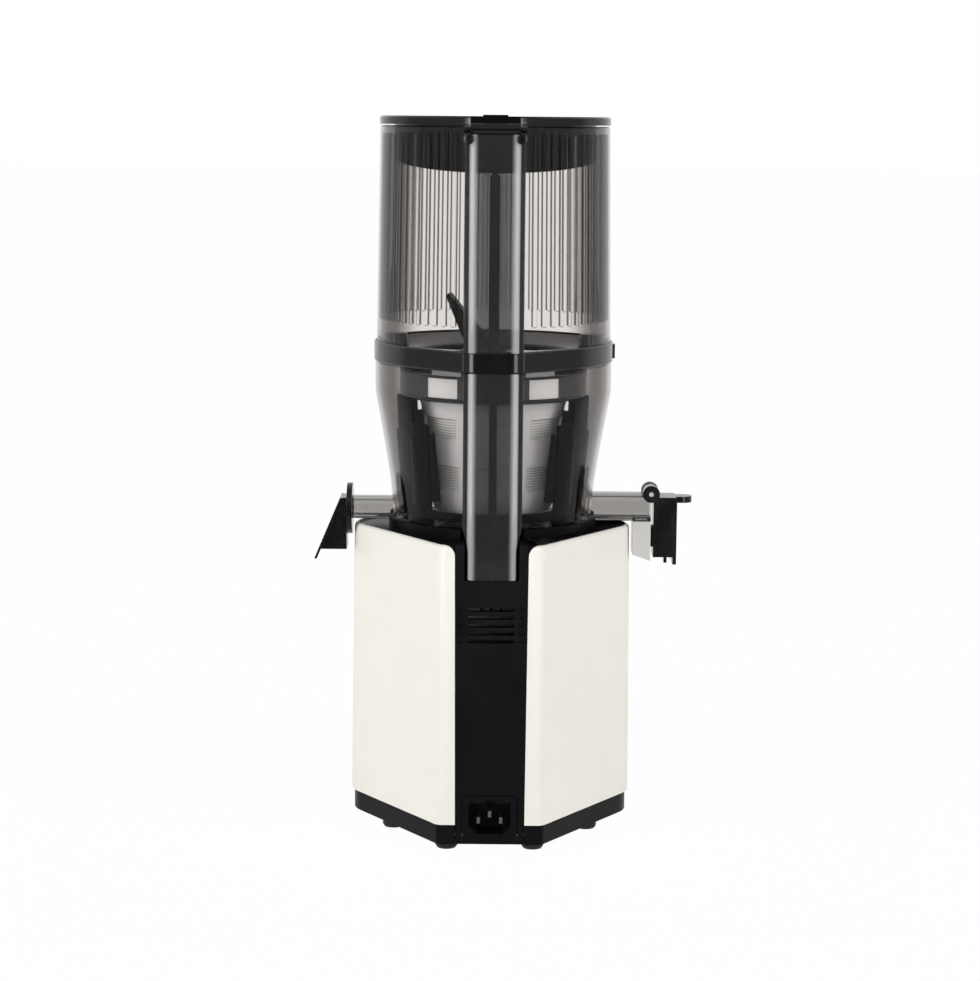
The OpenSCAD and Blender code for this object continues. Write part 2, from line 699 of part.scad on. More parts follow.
module control_knob() color("#1a1a1a") translate([0, knob_seat_y - gap, knob_z]) rotate([90, 0, 0])
    difference() {
        union() {
            cylinder(r = knob_r, h = 3);
            translate([0, 0, 3 - eps]) cylinder(r = knob_r - 1.5, h = knob_t - 3);
            translate([-3.5, 4 - knob_r, knob_t - 1]) cube([7, 2 * knob_r - 8, 5]);
        }
        for (a = [0 : 15 : 345]) rotate(a) translate([knob_r - 0.8, 0, 4])
            cylinder(r = 1.2, h = knob_t, $fn = 24);
    }

// ---------- Juicing bowl ----------

// Solid of revolution under the bowl's outer profile, shrunk by the inset.
module bowl_solid(inset, low_z, high_z) {
    rotate_extrude() polygon([[0, low_z], [bowl_foot_r - inset - 1, low_z],
        [bowl_foot_r - inset, low_z + 1], for (i = [2 : 4]) bowl_profile[i] - [inset, 0],
        [bowl_top_r - inset, high_z], [0, high_z]]);
}

// Plan of a rear column: straight sides, rounded rear corners.
module column_outline(w, front_y, r) {
    translate([-w / 2, front_y]) square([w, column_face_y - front_y - r]);
    translate([r - w / 2, front_y]) square([w - 2 * r, column_face_y - front_y]);
    for (side = [-1, 1]) translate([side * (w / 2 - r), column_face_y - r]) circle(r = r);
}

module column_cavity_outline(w) {
    r = column_corner_r - column_wall;
    translate([0, -column_wall]) column_outline(w - 2 * column_wall, column_root_y, r);
}

module bowl_column() {
    translate([0, 0, bowl_z]) linear_extrude(bowl_rim_z - bowl_z)
        column_outline(column_w, column_root_y, column_corner_r);
    translate([0, 0, column_foot_z]) linear_extrude(bowl_z + 4 - column_foot_z)
        column_outline(column_foot_w, column_front_y, column_corner_r);
}

module bowl_column_cavity() {
    difference() {
        translate([0, 0, bowl_z + 3]) linear_extrude(bowl_h) column_cavity_outline(column_w);
        bowl_solid(0, bowl_z - 1, bowl_rim_z + 10);
    }
    difference() {
        translate([0, 0, column_foot_z + 3]) linear_extrude(bowl_z + 4 - column_foot_z)
            intersection() {
                column_cavity_outline(column_foot_w);
                translate([-20, column_front_y + column_wall]) square([40, 40]);
            }
        translate([0, 0, bowl_z - 1]) cylinder(r = bowl_foot_r + 0.2, h = 40);
    }
}

// Flat-sided spout along X with rounded edges, from the bowl's wall outwards.
module spout(side, reach, half_w, low_z, high_z, r) {
    translate([side < 0 ? -reach : spout_root_x, 0, (low_z + high_z) / 2])
        extrude_x(reach - spout_root_x) rounded_box_outline(2 * half_w, high_z - low_z, r);
}

module cap_axis_cylinder(r, y, w) {
    translate([cap_axis_x, y, cap_axis_z]) rotate([90, 0, 0]) cylinder(r = r, h = w, center = true);
}

module juicing_bowl() color([0.45, 0.46, 0.48, 0.4]) difference() {
    union() {
        bowl_solid(0, bowl_z, bowl_rim_z);
        bowl_column();
        spout(-1, juice_reach, spout_half_w, spout_low_z, juice_top_z, 4);
        spout(1, pulp_reach, pulp_half_w, spout_low_z, pulp_top_z + 2, 4);
        cap_axis_cylinder(cap_knuckle_r - 0.5, 0, 2 * 5.3);
    }
    difference() {
        bowl_solid(bowl_wall, bowl_floor_z, bowl_rim_z + 10);
        translate([0, 0, strainer_flange_z - 4]) rotate_extrude()
            polygon([[bowl_top_r, 0], [bowl_top_r - bowl_wall - 2, 2.4],
                [bowl_top_r - bowl_wall - 2, 4], [bowl_top_r, 4]]);
        translate([0, -idler_distance, bowl_z]) {
            cylinder(r = idler_pin_r, h = bowl_gear_z + bowl_gear_t - bowl_z + 0.4);
            cylinder(r = idler_pin_r + 2, h = bowl_gear_z - bowl_z - gap);
        }
    }
    bowl_column_cavity();
    spout(-1, juice_reach + 5, juice_bore_half_w, bowl_floor_z, juice_top_z - 3, 3);
    spout(1, pulp_reach + 5, pulp_half_w - 2.5, bowl_floor_z, pulp_top_z - 0.5, 2.5);
    translate([-nozzle_outer_x + 2, -juice_bore_half_w, bowl_z - 5])
        cube([nozzle_outer_x - nozzle_inner_x - 4, 2 * juice_bore_half_w, 10]);
    for (side = [-1, 1]) cap_axis_cylinder(cap_knuckle_r + gap, side * 10.3, 10);
    cap_axis_cylinder(cap_pin_r + running, 0, 40);
    translate([0, 0, bowl_z - 1]) cylinder(r = bearing_r - 3.5, h = 20);
    translate([0, rod_y, column_foot_z - 1]) cylinder(r = rod_foot_r + gap, h = 6);
}

module bowl_seal() color("#e8e8e8") translate([0, 0, bowl_z]) difference() {
    cylinder(r = bearing_r - 3.5, h = bowl_floor_t + 0.6);
    translate([0, 0, -1]) cylinder(r = shaft_r + gap, h = 20);
}

// Translucent elbow that turns the juice down past the side of the base.
module juice_nozzle() color("#c9c9c6") difference() {
    extrude_y(2 * spout_half_w - 2) polygon([[-nozzle_outer_x, spout_low_z], [-nozzle_inner_x, spout_low_z],
        [-nozzle_inner_x, nozzle_mouth_z + 4], [-nozzle_outer_x, nozzle_mouth_z]]);
    translate([-nozzle_outer_x + 2, -juice_bore_half_w, nozzle_mouth_z - 5])
        cube([nozzle_outer_x - nozzle_inner_x - 4, 2 * juice_bore_half_w, 60]);
    translate([-nozzle_outer_x - 1, -5, nozzle_mouth_z + 8]) cube([5, 10, 14]);
}

// Profile of the pulp chute: level bottom, outer wall sloping away from the bowl.
function chute_slant_x(z) = chute_x + 3.4 + chute_slope * (chute_top_z - z);

module pulp_chute() color("#151515") difference() {
    union() {
        extrude_y(2 * pulp_half_w) polygon([[chute_x, chute_top_z],
            [chute_slant_x(chute_top_z), chute_top_z], [chute_slant_x(chute_bottom_z), chute_bottom_z],
            [chute_x, chute_bottom_z]]);
        extrude_y(2 * pulp_half_w + 3) polygon([[chute_slant_x(chute_top_z) - 0.8, chute_top_z],
            [chute_slant_x(chute_top_z) + 0.9, chute_top_z],
            [chute_slant_x(chute_bottom_z - 6) + 0.9, chute_bottom_z - 6],
            [chute_slant_x(chute_bottom_z - 6) - 0.8, chute_bottom_z - 6]]);
    }
    extrude_y(2 * pulp_half_w - 3.2) polygon([[chute_x + 1.6, chute_top_z - 1.8],
        [chute_slant_x(chute_top_z - 1.8) - 1.8, chute_top_z - 1.8],
        [chute_slant_x(chute_bottom_z - 1) - 1.8, chute_bottom_z - 1], [chute_x + 1.6, chute_bottom_z - 1]]);
    spout(1, chute_x + 3, pulp_half_w - 2.5, bowl_floor_z, pulp_top_z - 0.5, 2.5);
}

// Oval flange round the end of the pulp spout; the chute stands against it.
module pulp_flange() color("#101010") difference() {
    translate([flange_x, 0, (spout_low_z + pulp_top_z) / 2]) extrude_x(flange_t) hull()
        for (side = [-1, 1]) translate([0, side * 3]) circle(r = 13.5, $fn = 48);
    spout(1, pulp_reach, pulp_half_w, spout_low_z, pulp_top_z + 2, 4);
    spout(1, chute_x + 3, pulp_half_w - 2.5, bowl_floor_z, pulp_top_z - 0.5, 2.5);
}

module lower_push_rod() color("#202020") translate([0, rod_y, 0]) {
    translate([0, 0, rod_low_z]) cylinder(r = rod_foot_r, h = collar_z + 0.1 - gap - rod_low_z);
    translate([0, 0, column_foot_z + 3 + gap]) cylinder(r = rod_foot_r + 1.5, h = 2);
}

// ---------- Juice cap ----------

module juice_cap() color("#111111") {
    top_z = cap_axis_z - 6;
    inner_x = cap_axis_x - 1.6;
    outer_x = cap_axis_x - 2 - cap_t;
    difference() {
        union() {
            translate([outer_x, -9.5, top_z - cap_h]) cube([inner_x - outer_x, 19, cap_h + 1]);
            translate([outer_x - 0.6, -10.5, top_z - cap_h - 4.5]) cube([2.4, 21, cap_h + 5]);
            translate([outer_x + 5, -4, top_z - cap_h - 4.5]) cube([2, 8, 5]);
            translate([cap_axis_x - cap_lever + 6, 0, top_z]) linear_extrude(4) {
                circle(r = 6);
                translate([0, -6]) square([cap_lever - 8, 12]);
                translate([cap_lever - 8 - cap_t, -10.5]) square([cap_t, 21]);
            }
            for (side = [-1, 1]) cap_axis_cylinder(cap_knuckle_r, side * 8, 4.8);
        }
        for (side = [-1, 1]) translate([outer_x + 3.4, side * 9.5 - 2, top_z - cap_h + 2])
            cube([inner_x - outer_x - 5, 4, cap_h - 6]);
        cap_axis_cylinder(cap_knuckle_r + gap - 0.5, 0, 2 * 5.6);
        cap_axis_cylinder(cap_pin_r + running, 0, 40);
    }
}

module juice_cap_seal() color("#d8d8d8") translate([cap_axis_x - 1.6, -4.5, nozzle_mouth_z + 8.5])
    cube([1.3, 9, 13]);

module cap_hinge_pin() color("silver") cap_axis_cylinder(cap_pin_r, 0, 2 * 10.6);

// ---------- Strainer, wiper and auger ----------

function strainer_r(z) = strainer_foot_r
    + (strainer_top_r - strainer_foot_r) * (z - strainer_z) / (strainer_neck_z - strainer_z);

module strainer() color([0.42, 0.43, 0.45, 0.6]) difference() {
    rotate_extrude() polygon([[strainer_foot_r, strainer_z], [strainer_top_r, strainer_neck_z],
        [strainer_top_r, strainer_shoulder_z], [upper_ring_r, strainer_shoulder_z + 2],
        [upper_ring_r, strainer_flange_z], [bowl_top_r - bowl_wall - gap, strainer_flange_z],
        [bowl_top_r - bowl_wall - gap, strainer_flange_z + 2],
        [upper_ring_r - strainer_wall, strainer_flange_z + 2],
        [upper_ring_r - strainer_wall, strainer_shoulder_z + 3.5],
        [strainer_top_r - strainer_wall, strainer_shoulder_z + 1.5],
        [strainer_top_r - strainer_wall, strainer_neck_z], [strainer_foot_r - strainer_wall, strainer_z]]);
    for (row = window_rows) difference() {
        translate([0, 0, row[0]]) linear_extrude(row[1] - row[0]) for (i = [0 : window_count - 1])
            wedge(i * 360 / window_count, 150 / window_count, strainer_top_r + 3);
        cylinder(r = strainer_foot_r - strainer_wall - 1, h = 400);
    }
    for (i = [0 : 7]) rotate(22.5 + i * 45) translate([upper_ring_r - 4, -9, strainer_shoulder_z + 5])
        cube([6, 18, 8]);
}

// Stainless mesh sleeves seated inside the windows.
module strainer_mesh() color("silver") for (row = window_rows) {
    low = row[0] - 1;
    high = row[1] + 1;
    inner = strainer_wall;
    rotate_extrude() polygon([[strainer_r(low) - inner, low], [strainer_r(high) - inner, high],
        [strainer_r(high) - inner - 0.4, high], [strainer_r(low) - inner - 0.4, low]]);
}

function wiper_r(z) = wiper_foot_r
    + (wiper_top_r - wiper_foot_r) * (z - ring_top_z) / (wiper_top_z - ring_top_z);

module wiper_frame() color("#171717") difference() {
    rotate_extrude() polygon([[ring_bore_r, bowl_gear_z], [wiper_foot_r, bowl_gear_z],
        [wiper_foot_r, ring_top_z], [wiper_top_r, wiper_top_z], [wiper_top_r - wiper_wall, wiper_top_z],
        [wiper_foot_r - wiper_wall, ring_top_z], [ring_bore_r, ring_top_z]]);
    translate([0, 0, bowl_gear_z - 1]) linear_extrude(ring_top_z - bowl_gear_z + 2) rotate(180 / ring_teeth)
        gear_outline(ring_teeth, wiper_module, 1.2 * wiper_module, 0.85 * wiper_module,
            90 / ring_teeth + backlash(ring_teeth, wiper_module));
    translate([0, 0, ring_top_z + 1]) linear_extrude(wiper_top_z - ring_top_z - 5)
        difference() {
            for (side = [90, 270]) wedge(side, 90 - panel_half_angle, wiper_top_r + 5);
            circle(r = ring_bore_r);
        }
    translate([0, 0, blade_low_z]) linear_extrude(blade_top_z - blade_low_z)
        difference() {
            for (side = [0, 180], a = blade_angles) wedge(side + a, blade_slot_half, wiper_top_r + 5);
            circle(r = ring_bore_r);
        }
}

// Silicone blades standing in the frame's slots and wiping strainer and bowl.
module wiper_blades() color("#3a3a3a") intersection() {
    rotate_extrude() polygon([[strainer_r(blade_low_z) + blade_clear, blade_low_z],
        [wiper_r(blade_low_z) + 1.5, blade_low_z], [wiper_r(blade_top_z) + 1.5, blade_top_z],
        [strainer_r(blade_top_z) + blade_clear, blade_top_z]]);
    linear_extrude(400) for (side = [0, 180], a = blade_angles) rotate(side + a)
        translate([strainer_foot_r - 4, -blade_t / 2]) square([wiper_top_r, blade_t]);
}

module idler_gear() color("whitesmoke") translate([0, -idler_distance, bowl_gear_z]) difference() {
    rotate(90 + 180 / idler_teeth) spur_gear(idler_teeth, wiper_module, bowl_gear_t);
    translate([0, 0, -1]) cylinder(r = idler_pin_r + running, h = bowl_gear_t + 2);
}

// Helical flight: a rounded rib swept up the core and narrowing towards the top.
module auger_flight(turn) {
    rotate(turn) translate([0, 0, auger_body_z - eps])
        linear_extrude(auger_top_z - auger_body_z, twist = -360 * auger_turns, slices = 24, scale = 0.8,
            $fn = 24)
            translate([auger_core_r - 4, 0]) rounded_rib(auger_r - auger_core_r + 4, 6);
}

module rounded_rib(length, w) {
    polygon([[0, -w / 2], for (a = [-90 : 30 : 90]) [length - w / 2 + w / 2 * cos(a), w / 2 * sin(a)],
        [0, w / 2]]);
}

// Cutting wing: a curved blade that rises from the auger's head.
module cutting_wing() {
    base_z = bowl_rim_z + 4;
    tip_z = bowl_rim_z + wing_rise;
    rotate(-25) extrude_y(5) polygon([[-8, base_z - 6], [10, base_z - 6], [22, tip_z - 26], [33, tip_z - 2],
        [31, tip_z], [18, tip_z - 14], [4, base_z + 10], [-9, base_z + 6]]);
}

module auger() color("#2b2b2d") difference() {
    union() {
        translate([0, 0, bowl_gear_z]) spur_gear(auger_teeth, wiper_module, bowl_gear_t + 1 + eps);
        translate([0, 0, auger_disc_z]) cylinder(r = auger_r, h = auger_body_z - auger_disc_z);
        translate([0, 0, auger_body_z - eps])
            cylinder(r1 = auger_core_r + 5, r2 = auger_core_r - 4, h = auger_top_z - auger_body_z + eps);
        translate([0, 0, auger_top_z - eps]) cylinder(r1 = auger_core_r - 4, r2 = neck_r, h = 10);
        translate([0, 0, auger_top_z + 10 - 2 * eps]) cylinder(r = neck_r, h = bowl_rim_z - auger_top_z - 8);
        translate([0, 0, bowl_rim_z + 2 - 3 * eps]) cylinder(r1 = neck_r, r2 = 4, h = 7);
        for (turn = [0, 120, 240]) auger_flight(turn);
        cutting_wing();
    }
    translate([0, 0, bowl_gear_z - 1])
        cylinder(r = shaft_hex_r + gap, h = shaft_top_z - bowl_gear_z + 2, $fn = 6);
}

// ---------- Hopper and lid ----------

module hopper_solid(inset, low_z, high_z) {
    translate([0, 0, low_z])
        cylinder(h = high_z - low_z, r1 = hopper_foot_r - inset, r2 = hopper_top_r - inset);
}

// Grooves up the inner wall, left out where the rear column stands.
module hopper_flutes() {
    inner_r = hopper_foot_r - hopper_wall - flute_slope * (flute_low_z - hopper_z);
    for (i = [0 : flute_count - 1]) if (abs(i + 0.5 - flute_count / 2) < flute_count * 0.455)
        rotate(270 + (i + 0.5 - flute_count / 2) * 360 / flute_count) translate([inner_r, 0, flute_low_z])
            rotate([0, -atan(flute_slope), 0])
                cylinder(r = flute_r, h = flute_top_z - flute_low_z, $fn = 24);
}

module hopper() color([0.35, 0.36, 0.38, 0.35]) difference() {
    union() {
        hopper_solid(0, hopper_z, hopper_top_z);
        translate([0, 0, hopper_z]) linear_extrude(hinge_z - hopper_z)
            column_outline(column_w, column_root_y, column_corner_r);
        for (side = [-1, 1]) translate([side * (ear_inner_x + ear_t / 2) - ear_t / 2, hinge_y, hinge_z])
            rotate([0, 90, 0]) cylinder(r = ear_r - 0.5, h = ear_t);
    }
    translate([0, 0, hopper_z - 1]) cylinder(r = hopper_foot_r - hopper_wall - 0.02, h = 1.5);
    hopper_flutes();
    hopper_solid(hopper_wall, hopper_z, hopper_top_z + eps);
    translate([0, 0, hopper_top_z - 1]) cylinder(r = hopper_top_r - hopper_wall, h = 10);
    difference() {
        translate([0, 0, hopper_z + 3]) linear_extrude(hopper_h + 10) difference() {
            column_cavity_outline(column_w);
            circle(r = hopper_foot_r);
        }
        for (z = guide_heights) translate([-column_w, column_root_y, z]) cube([2 * column_w, 60, guide_t]);
    }
    translate([-ear_inner_x, hopper_top_r + 0.4, plunger_z - gap]) cube([2 * ear_inner_x, 30, 40]);
    translate([0, rod_y, hopper_z - 1]) cylinder(r = rod_r + gap, h = hopper_h - 10);
    hinge_bore();
}

module hinge_bore() {
    translate([-column_w, hinge_y, hinge_z]) rotate([0, 90, 0])
        cylinder(r = hinge_pin_r + running, h = 2 * column_w);
}

module collar_outline(extra) {
    r = hopper_foot_r + 1.4 + extra;
    circle(r = r);
    w = column_w / 2 + 1.6 + extra;
    rear = base_half_d + 0.6 + extra;
    side = (r - 1) * [cos(collar_turn), sin(collar_turn)];
    polygon([[-side[0], side[1]], [side[0], side[1]], [w, rear - 2], [w - 2, rear], [2 - w, rear],
        [-w, rear - 2]]);
}

module hopper_collar() color("#121212") difference() {
    union() {
        translate([0, 0, collar_z]) linear_extrude(collar_h) collar_outline(0);
        translate([0, 0, bowl_rim_z - 2.2]) cylinder(r = bowl_top_r - bowl_wall - gap - 0.1, h = 4);
        translate([-hopper_foot_r - 2.6, -4, collar_z + 2]) cube([4, 8, collar_h - 4]);
    }
    translate([0, 0, collar_z - 5]) cylinder(r = bowl_top_r - bowl_wall - 4, h = 30);
    translate([0, 0, hopper_z]) linear_extrude(30) {
        circle(r = hopper_foot_r + 0.15);
        column_outline(column_w + 0.3, column_root_y, column_corner_r);
    }
    translate([0, rod_y, collar_z - 5]) cylinder(r = rod_r + gap, h = 20);
}

// Funnel ring on the hopper's floor with two rounded locking lugs.
module hopper_floor() color("#161616") difference() {
    union() {
        rotate_extrude() polygon([[opening_r, hopper_z], [hopper_foot_r - hopper_wall - 0.4, hopper_z],
            [hopper_foot_r - hopper_wall - 0.6, hopper_z + 9],
            [hopper_foot_r - hopper_wall - 3, hopper_z + 9], [opening_r + 2, hopper_z + 3],
            [opening_r, hopper_z + 2]]);
        for (side = [0, 180]) rotate(side) translate([hopper_foot_r - hopper_wall - 10, 0, hopper_z + 1])
            cylinder(r1 = 9, r2 = 7, h = 13);
    }
    translate([0, 0, hopper_z - 1]) difference() {
        cylinder(r = hopper_foot_r + 15, h = 40);
        cylinder(r = hopper_foot_r - hopper_wall - 0.7, h = 40);
    }
}

module hopper_push_rod() color("#1c1c1c") translate([0, rod_y, 0]) {
    translate([0, 0, collar_z + 0.1]) cylinder(r = rod_r, h = rod_top_z - collar_z);
    translate([0, 0, rod_top_z]) intersection() {
        sphere(r = rod_r);
        translate([0, 0, 4.9]) cube(10, center = true);
    }
    translate([0, 0, rod_top_z]) cylinder(r = 1.2, h = plunger_z - 0.5 - rod_top_z);
    translate([0, 0, hopper_z + 3 + gap]) cylinder(r1 = rod_r + 1.2, r2 = rod_r, h = 10);
}

module lid_skirt_cutter() {
    slope = (lid_skirt_rear - lid_skirt_front) / (2 * lid_skirt_r);
    middle = (lid_skirt_rear + lid_skirt_front) / 2;
    extrude_x(4 * lid_r) polygon([[-lid_r, lid_z - middle + slope * lid_r],
        [lid_r, lid_z - middle - slope * lid_r], [lid_r, lid_z - 80], [-lid_r, lid_z - 80]]);
}

module lid() color([0.12, 0.12, 0.13, 0.9]) difference() {
    union() {
        translate([0, 0, lid_z]) cylinder(r = lid_r, h = lid_t - 1);
        translate([0, 0, lid_z + lid_t - 1 - eps]) cylinder(r1 = lid_r, r2 = lid_r - 1, h = 1);
        difference() {
            translate([0, 0, lid_z - 60]) tube(lid_skirt_r, lid_skirt_r - 2, 60 + eps);
            translate([-2 * lid_r, 0, 0]) lid_skirt_cutter();
        }
        translate([-lug_w / 2, lid_skirt_r - 2, lid_z]) cube([lug_w, hinge_y - lid_skirt_r + 2, lid_t]);
        translate([-lug_w / 2, hinge_y - ear_r + 0.2, hinge_z])
            cube([lug_w, ear_r - 0.2, lid_z - hinge_z + eps]);
        translate([-lug_w / 2, hinge_y, hinge_z]) rotate([0, 90, 0]) cylinder(r = ear_r - 0.6, h = lug_w);
        translate([-7.5, rod_y - 2.5, plunger_z]) cube([15, 5, hinge_z - plunger_z]);
        translate([-7.5, hinge_y - 15.5, lid_z + lid_t - eps]) cube([15, 16, 0.9]);
    }
    hinge_bore();
}

module lid_hinge_pin() color("#222222") translate([-column_w / 2 - 0.8, hinge_y, hinge_z])
    rotate([0, 90, 0]) cylinder(r = hinge_pin_r, h = column_w + 1.6);

base_cover();
base_spine();
base_deck();
base_skirt();
bottom_plate();
feet();
plate_screws();
inlet_housing();
inlet_pins();
gearbox_housing();
gearbox_cover();
motor_stator();
motor_bracket();
motor_rotor();
cooling_fan();
gear_cluster();
cluster_pin();
drive_shaft();
output_gear();
shaft_bearing();
shaft_seal();
circuit_board();
safety_switch();
rotary_switch();
control_knob();
juicing_bowl();
bowl_seal();
juice_nozzle();
pulp_chute();
pulp_flange();
lower_push_rod();
juice_cap();
juice_cap_seal();
cap_hinge_pin();
strainer();
strainer_mesh();
wiper_frame();
wiper_blades();
idler_gear();
auger();
hopper_collar();
hopper_floor();
hopper();
hopper_push_rod();
lid();
lid_hinge_pin();
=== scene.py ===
"""Finishes and modelled shells of a tall-hopper cold press juicer."""

import logging
import math
from collections.abc import Callable
from dataclasses import dataclass
from enum import Enum
from itertools import pairwise

import bmesh
import bpy
from mathutils import Matrix, Vector


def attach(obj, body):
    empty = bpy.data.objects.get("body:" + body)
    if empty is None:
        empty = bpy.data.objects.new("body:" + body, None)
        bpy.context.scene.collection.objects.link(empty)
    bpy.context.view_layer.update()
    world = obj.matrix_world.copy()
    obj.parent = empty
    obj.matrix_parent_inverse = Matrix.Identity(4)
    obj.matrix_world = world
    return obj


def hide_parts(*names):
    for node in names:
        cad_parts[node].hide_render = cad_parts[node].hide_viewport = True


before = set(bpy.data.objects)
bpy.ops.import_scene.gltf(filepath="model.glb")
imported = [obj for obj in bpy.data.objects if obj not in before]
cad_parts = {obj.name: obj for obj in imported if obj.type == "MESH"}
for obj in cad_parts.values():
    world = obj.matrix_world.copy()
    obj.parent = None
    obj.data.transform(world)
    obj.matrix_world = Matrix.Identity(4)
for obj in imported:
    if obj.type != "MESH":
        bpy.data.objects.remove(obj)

logging.basicConfig(level=logging.INFO, format="%(message)s")
LOG = logging.getLogger("juicer")
MM = 0.001
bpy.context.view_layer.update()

Plan = list[tuple[float, float]]
Levels = list[tuple[float, float, float]]
Corner = tuple[float, float, float]
Profile = tuple[tuple[float, float], ...]
Piece = bpy.types.Object
Finish = bpy.types.Material
Tree = bpy.types.NodeTree
Socket = bpy.types.NodeSocket
WHITE = "#ffffff"


class Body(str, Enum):
    """Bodies of the juicer that modelled pieces ride on."""

    BASE = "base"
    BOWL = "bowl"
    HOPPER = "hopper"
    WIPER = "wiper"


class Part(str, Enum):
    """What an edit-mode selection is made of."""

    VERTS = "verts"
    EDGES = "edges"
    FACES = "faces"


# ---------- Materials ----------


def linear(hex_colour: str) -> tuple[float, float, float, float]:
    """Turns an sRGB hex colour to linear red, green, blue and an alpha of 1."""
    parts = [int(hex_colour[i : i + 2], 16) / 255 for i in (1, 3, 5)]
    return (*[c / 12.92 if c <= 0.04045 else ((c + 0.055) / 1.055) ** 2.4 for c in parts], 1.0)


def add_node(
    tree: Tree, kind: str, settings: dict | None = None, links: dict | None = None
) -> bpy.types.ShaderNode:
    """Adds a shader node, sets it up and links it.

    Args:
        tree: Node tree that gets the node.
        kind: Blender's type name of the node, without ShaderNode.
        settings: Values by property name, or by input socket name or number.
        links: Source sockets by input socket name or number.

    Returns:
        The new node.
    """
    node = tree.nodes.new("ShaderNode" + kind)
    for key, value in (settings or {}).items():
        if isinstance(key, str) and hasattr(node, key):
            setattr(node, key, value)
        else:
            node.inputs[key].default_value = value
    for key, source in (links or {}).items():
        tree.links.new(source, node.inputs[key])
    return node


def new_tree(name: str) -> tuple[Finish, Tree]:
    """Makes an empty node material.

    Args:
        name: Name of the material.

    Returns:
        The material and its cleared node tree.
    """
    material = bpy.data.materials.new(name)
    material.use_nodes = True
    material.node_tree.nodes.clear()
    return material, material.node_tree


def finish_surface(tree: Tree, shader: Socket) -> None:
    """Links a shader to a material's output."""
    add_node(tree, "OutputMaterial", links={"Surface": shader})


def maths(tree: Tree, operation: str, *values: Socket | float) -> Socket:
    """Computes with sockets and numbers.

    Args:
        tree: Node tree of the material.
        operation: Blender's name of the operation.
        *values: Its inputs in order.

    Returns:
        The socket of the result.
    """
    settings, links = {"operation": operation}, {}
    for number, value in enumerate(values):
        (links if isinstance(value, Socket) else settings)[number] = value
    return add_node(tree, "Math", settings, links).outputs["Value"]


def eased(
    tree: Tree, value: Socket, stops: tuple[float, float], ends: tuple[float, float], kind: str = "SMOOTHSTEP"
) -> Socket:
    """Leads a value between two stops from one end to the other, smoothly or as the kind says."""
    reach = {"From Min": stops[0], "From Max": stops[1], "To Min": ends[0], "To Max": ends[1]}
    return add_node(tree, "MapRange", {"interpolation_type": kind} | reach, {"Value": value}).outputs[0]


def blend(tree: Tree, share: Socket, first: Socket | str, second: Socket | str) -> Socket:
    """Mixes two colours.

    Args:
        tree: Node tree of the material.
        share: Share of the second colour.
        first: First colour, a socket or a hex colour.
        second: Second colour, a socket or a hex colour.

    Returns:
        The socket of the mixed colour.
    """
    settings, links = {"data_type": "RGBA"}, {0: share}
    for number, colour in ((6, first), (7, second)):
        if isinstance(colour, str):
            settings[number] = linear(colour)
        else:
            links[number] = colour
    return add_node(tree, "Mix", settings, links).outputs[2]


def noise(tree: Tree, place: Socket, size_mm: float, detail: float = 2.0) -> Socket:
    """Makes noise whose blotches have a given size, with a number of finer layers."""
    settings = {"Scale": 1 / (size_mm * MM), "Detail": detail}
    return add_node(tree, "TexNoise", settings, {"Vector": place}).outputs["Fac"]


def relief(tree: Tree, height: Socket, strength: float, depth_mm: float) -> bpy.types.ShaderNode:
    """Turns a height into a bump of a given strength and depth."""
    settings = {"Strength": strength, "Distance": depth_mm * MM}
    return add_node(tree, "Bump", settings, {"Height": height})


@dataclass(frozen=True)
class MouldedPlastic:
    """Moulded plastic or rubber: an even colour, a fine spark-eroded grain and a soft sheen."""

    name: str
    colour: str
    shade: str
    roughness: float
    grain_mm: float = 0.6
    grain_height: float = 0.04
    grain_depth_mm: float = 0.2
    mottle_mm: float = 25.0
    specular: float = 0.5
    edge_mm: float = 0.0

    def material(self) -> Finish:
        """Builds the material: mottled colour and roughness, the mould's grain and softly broken edges.

        Returns:
            The material.
        """
        material, tree = new_tree(self.name)
        place = add_node(tree, "TexCoord").outputs["Object"]
        mottle = noise(tree, place, self.mottle_mm, 3.0)
        rough = eased(tree, mottle, (0.3, 0.7), (self.roughness - 0.04, self.roughness + 0.05), "LINEAR")
        bump = relief(tree, noise(tree, place, self.grain_mm), self.grain_height, self.grain_depth_mm)
        if self.edge_mm:
            edge = add_node(tree, "Bevel", {"samples": 4, "Radius": self.edge_mm * MM})
            tree.links.new(edge.outputs["Normal"], bump.inputs["Normal"])
        surface = add_node(
            tree, "BsdfPrincipled", {"IOR": 1.5, "Specular IOR Level": self.specular},
            {
                "Base Color": blend(tree, mottle, self.colour, self.shade),
                "Roughness": rough, "Normal": bump.outputs["Normal"],
            },
        )
        finish_surface(tree, surface.outputs["BSDF"])
        return material


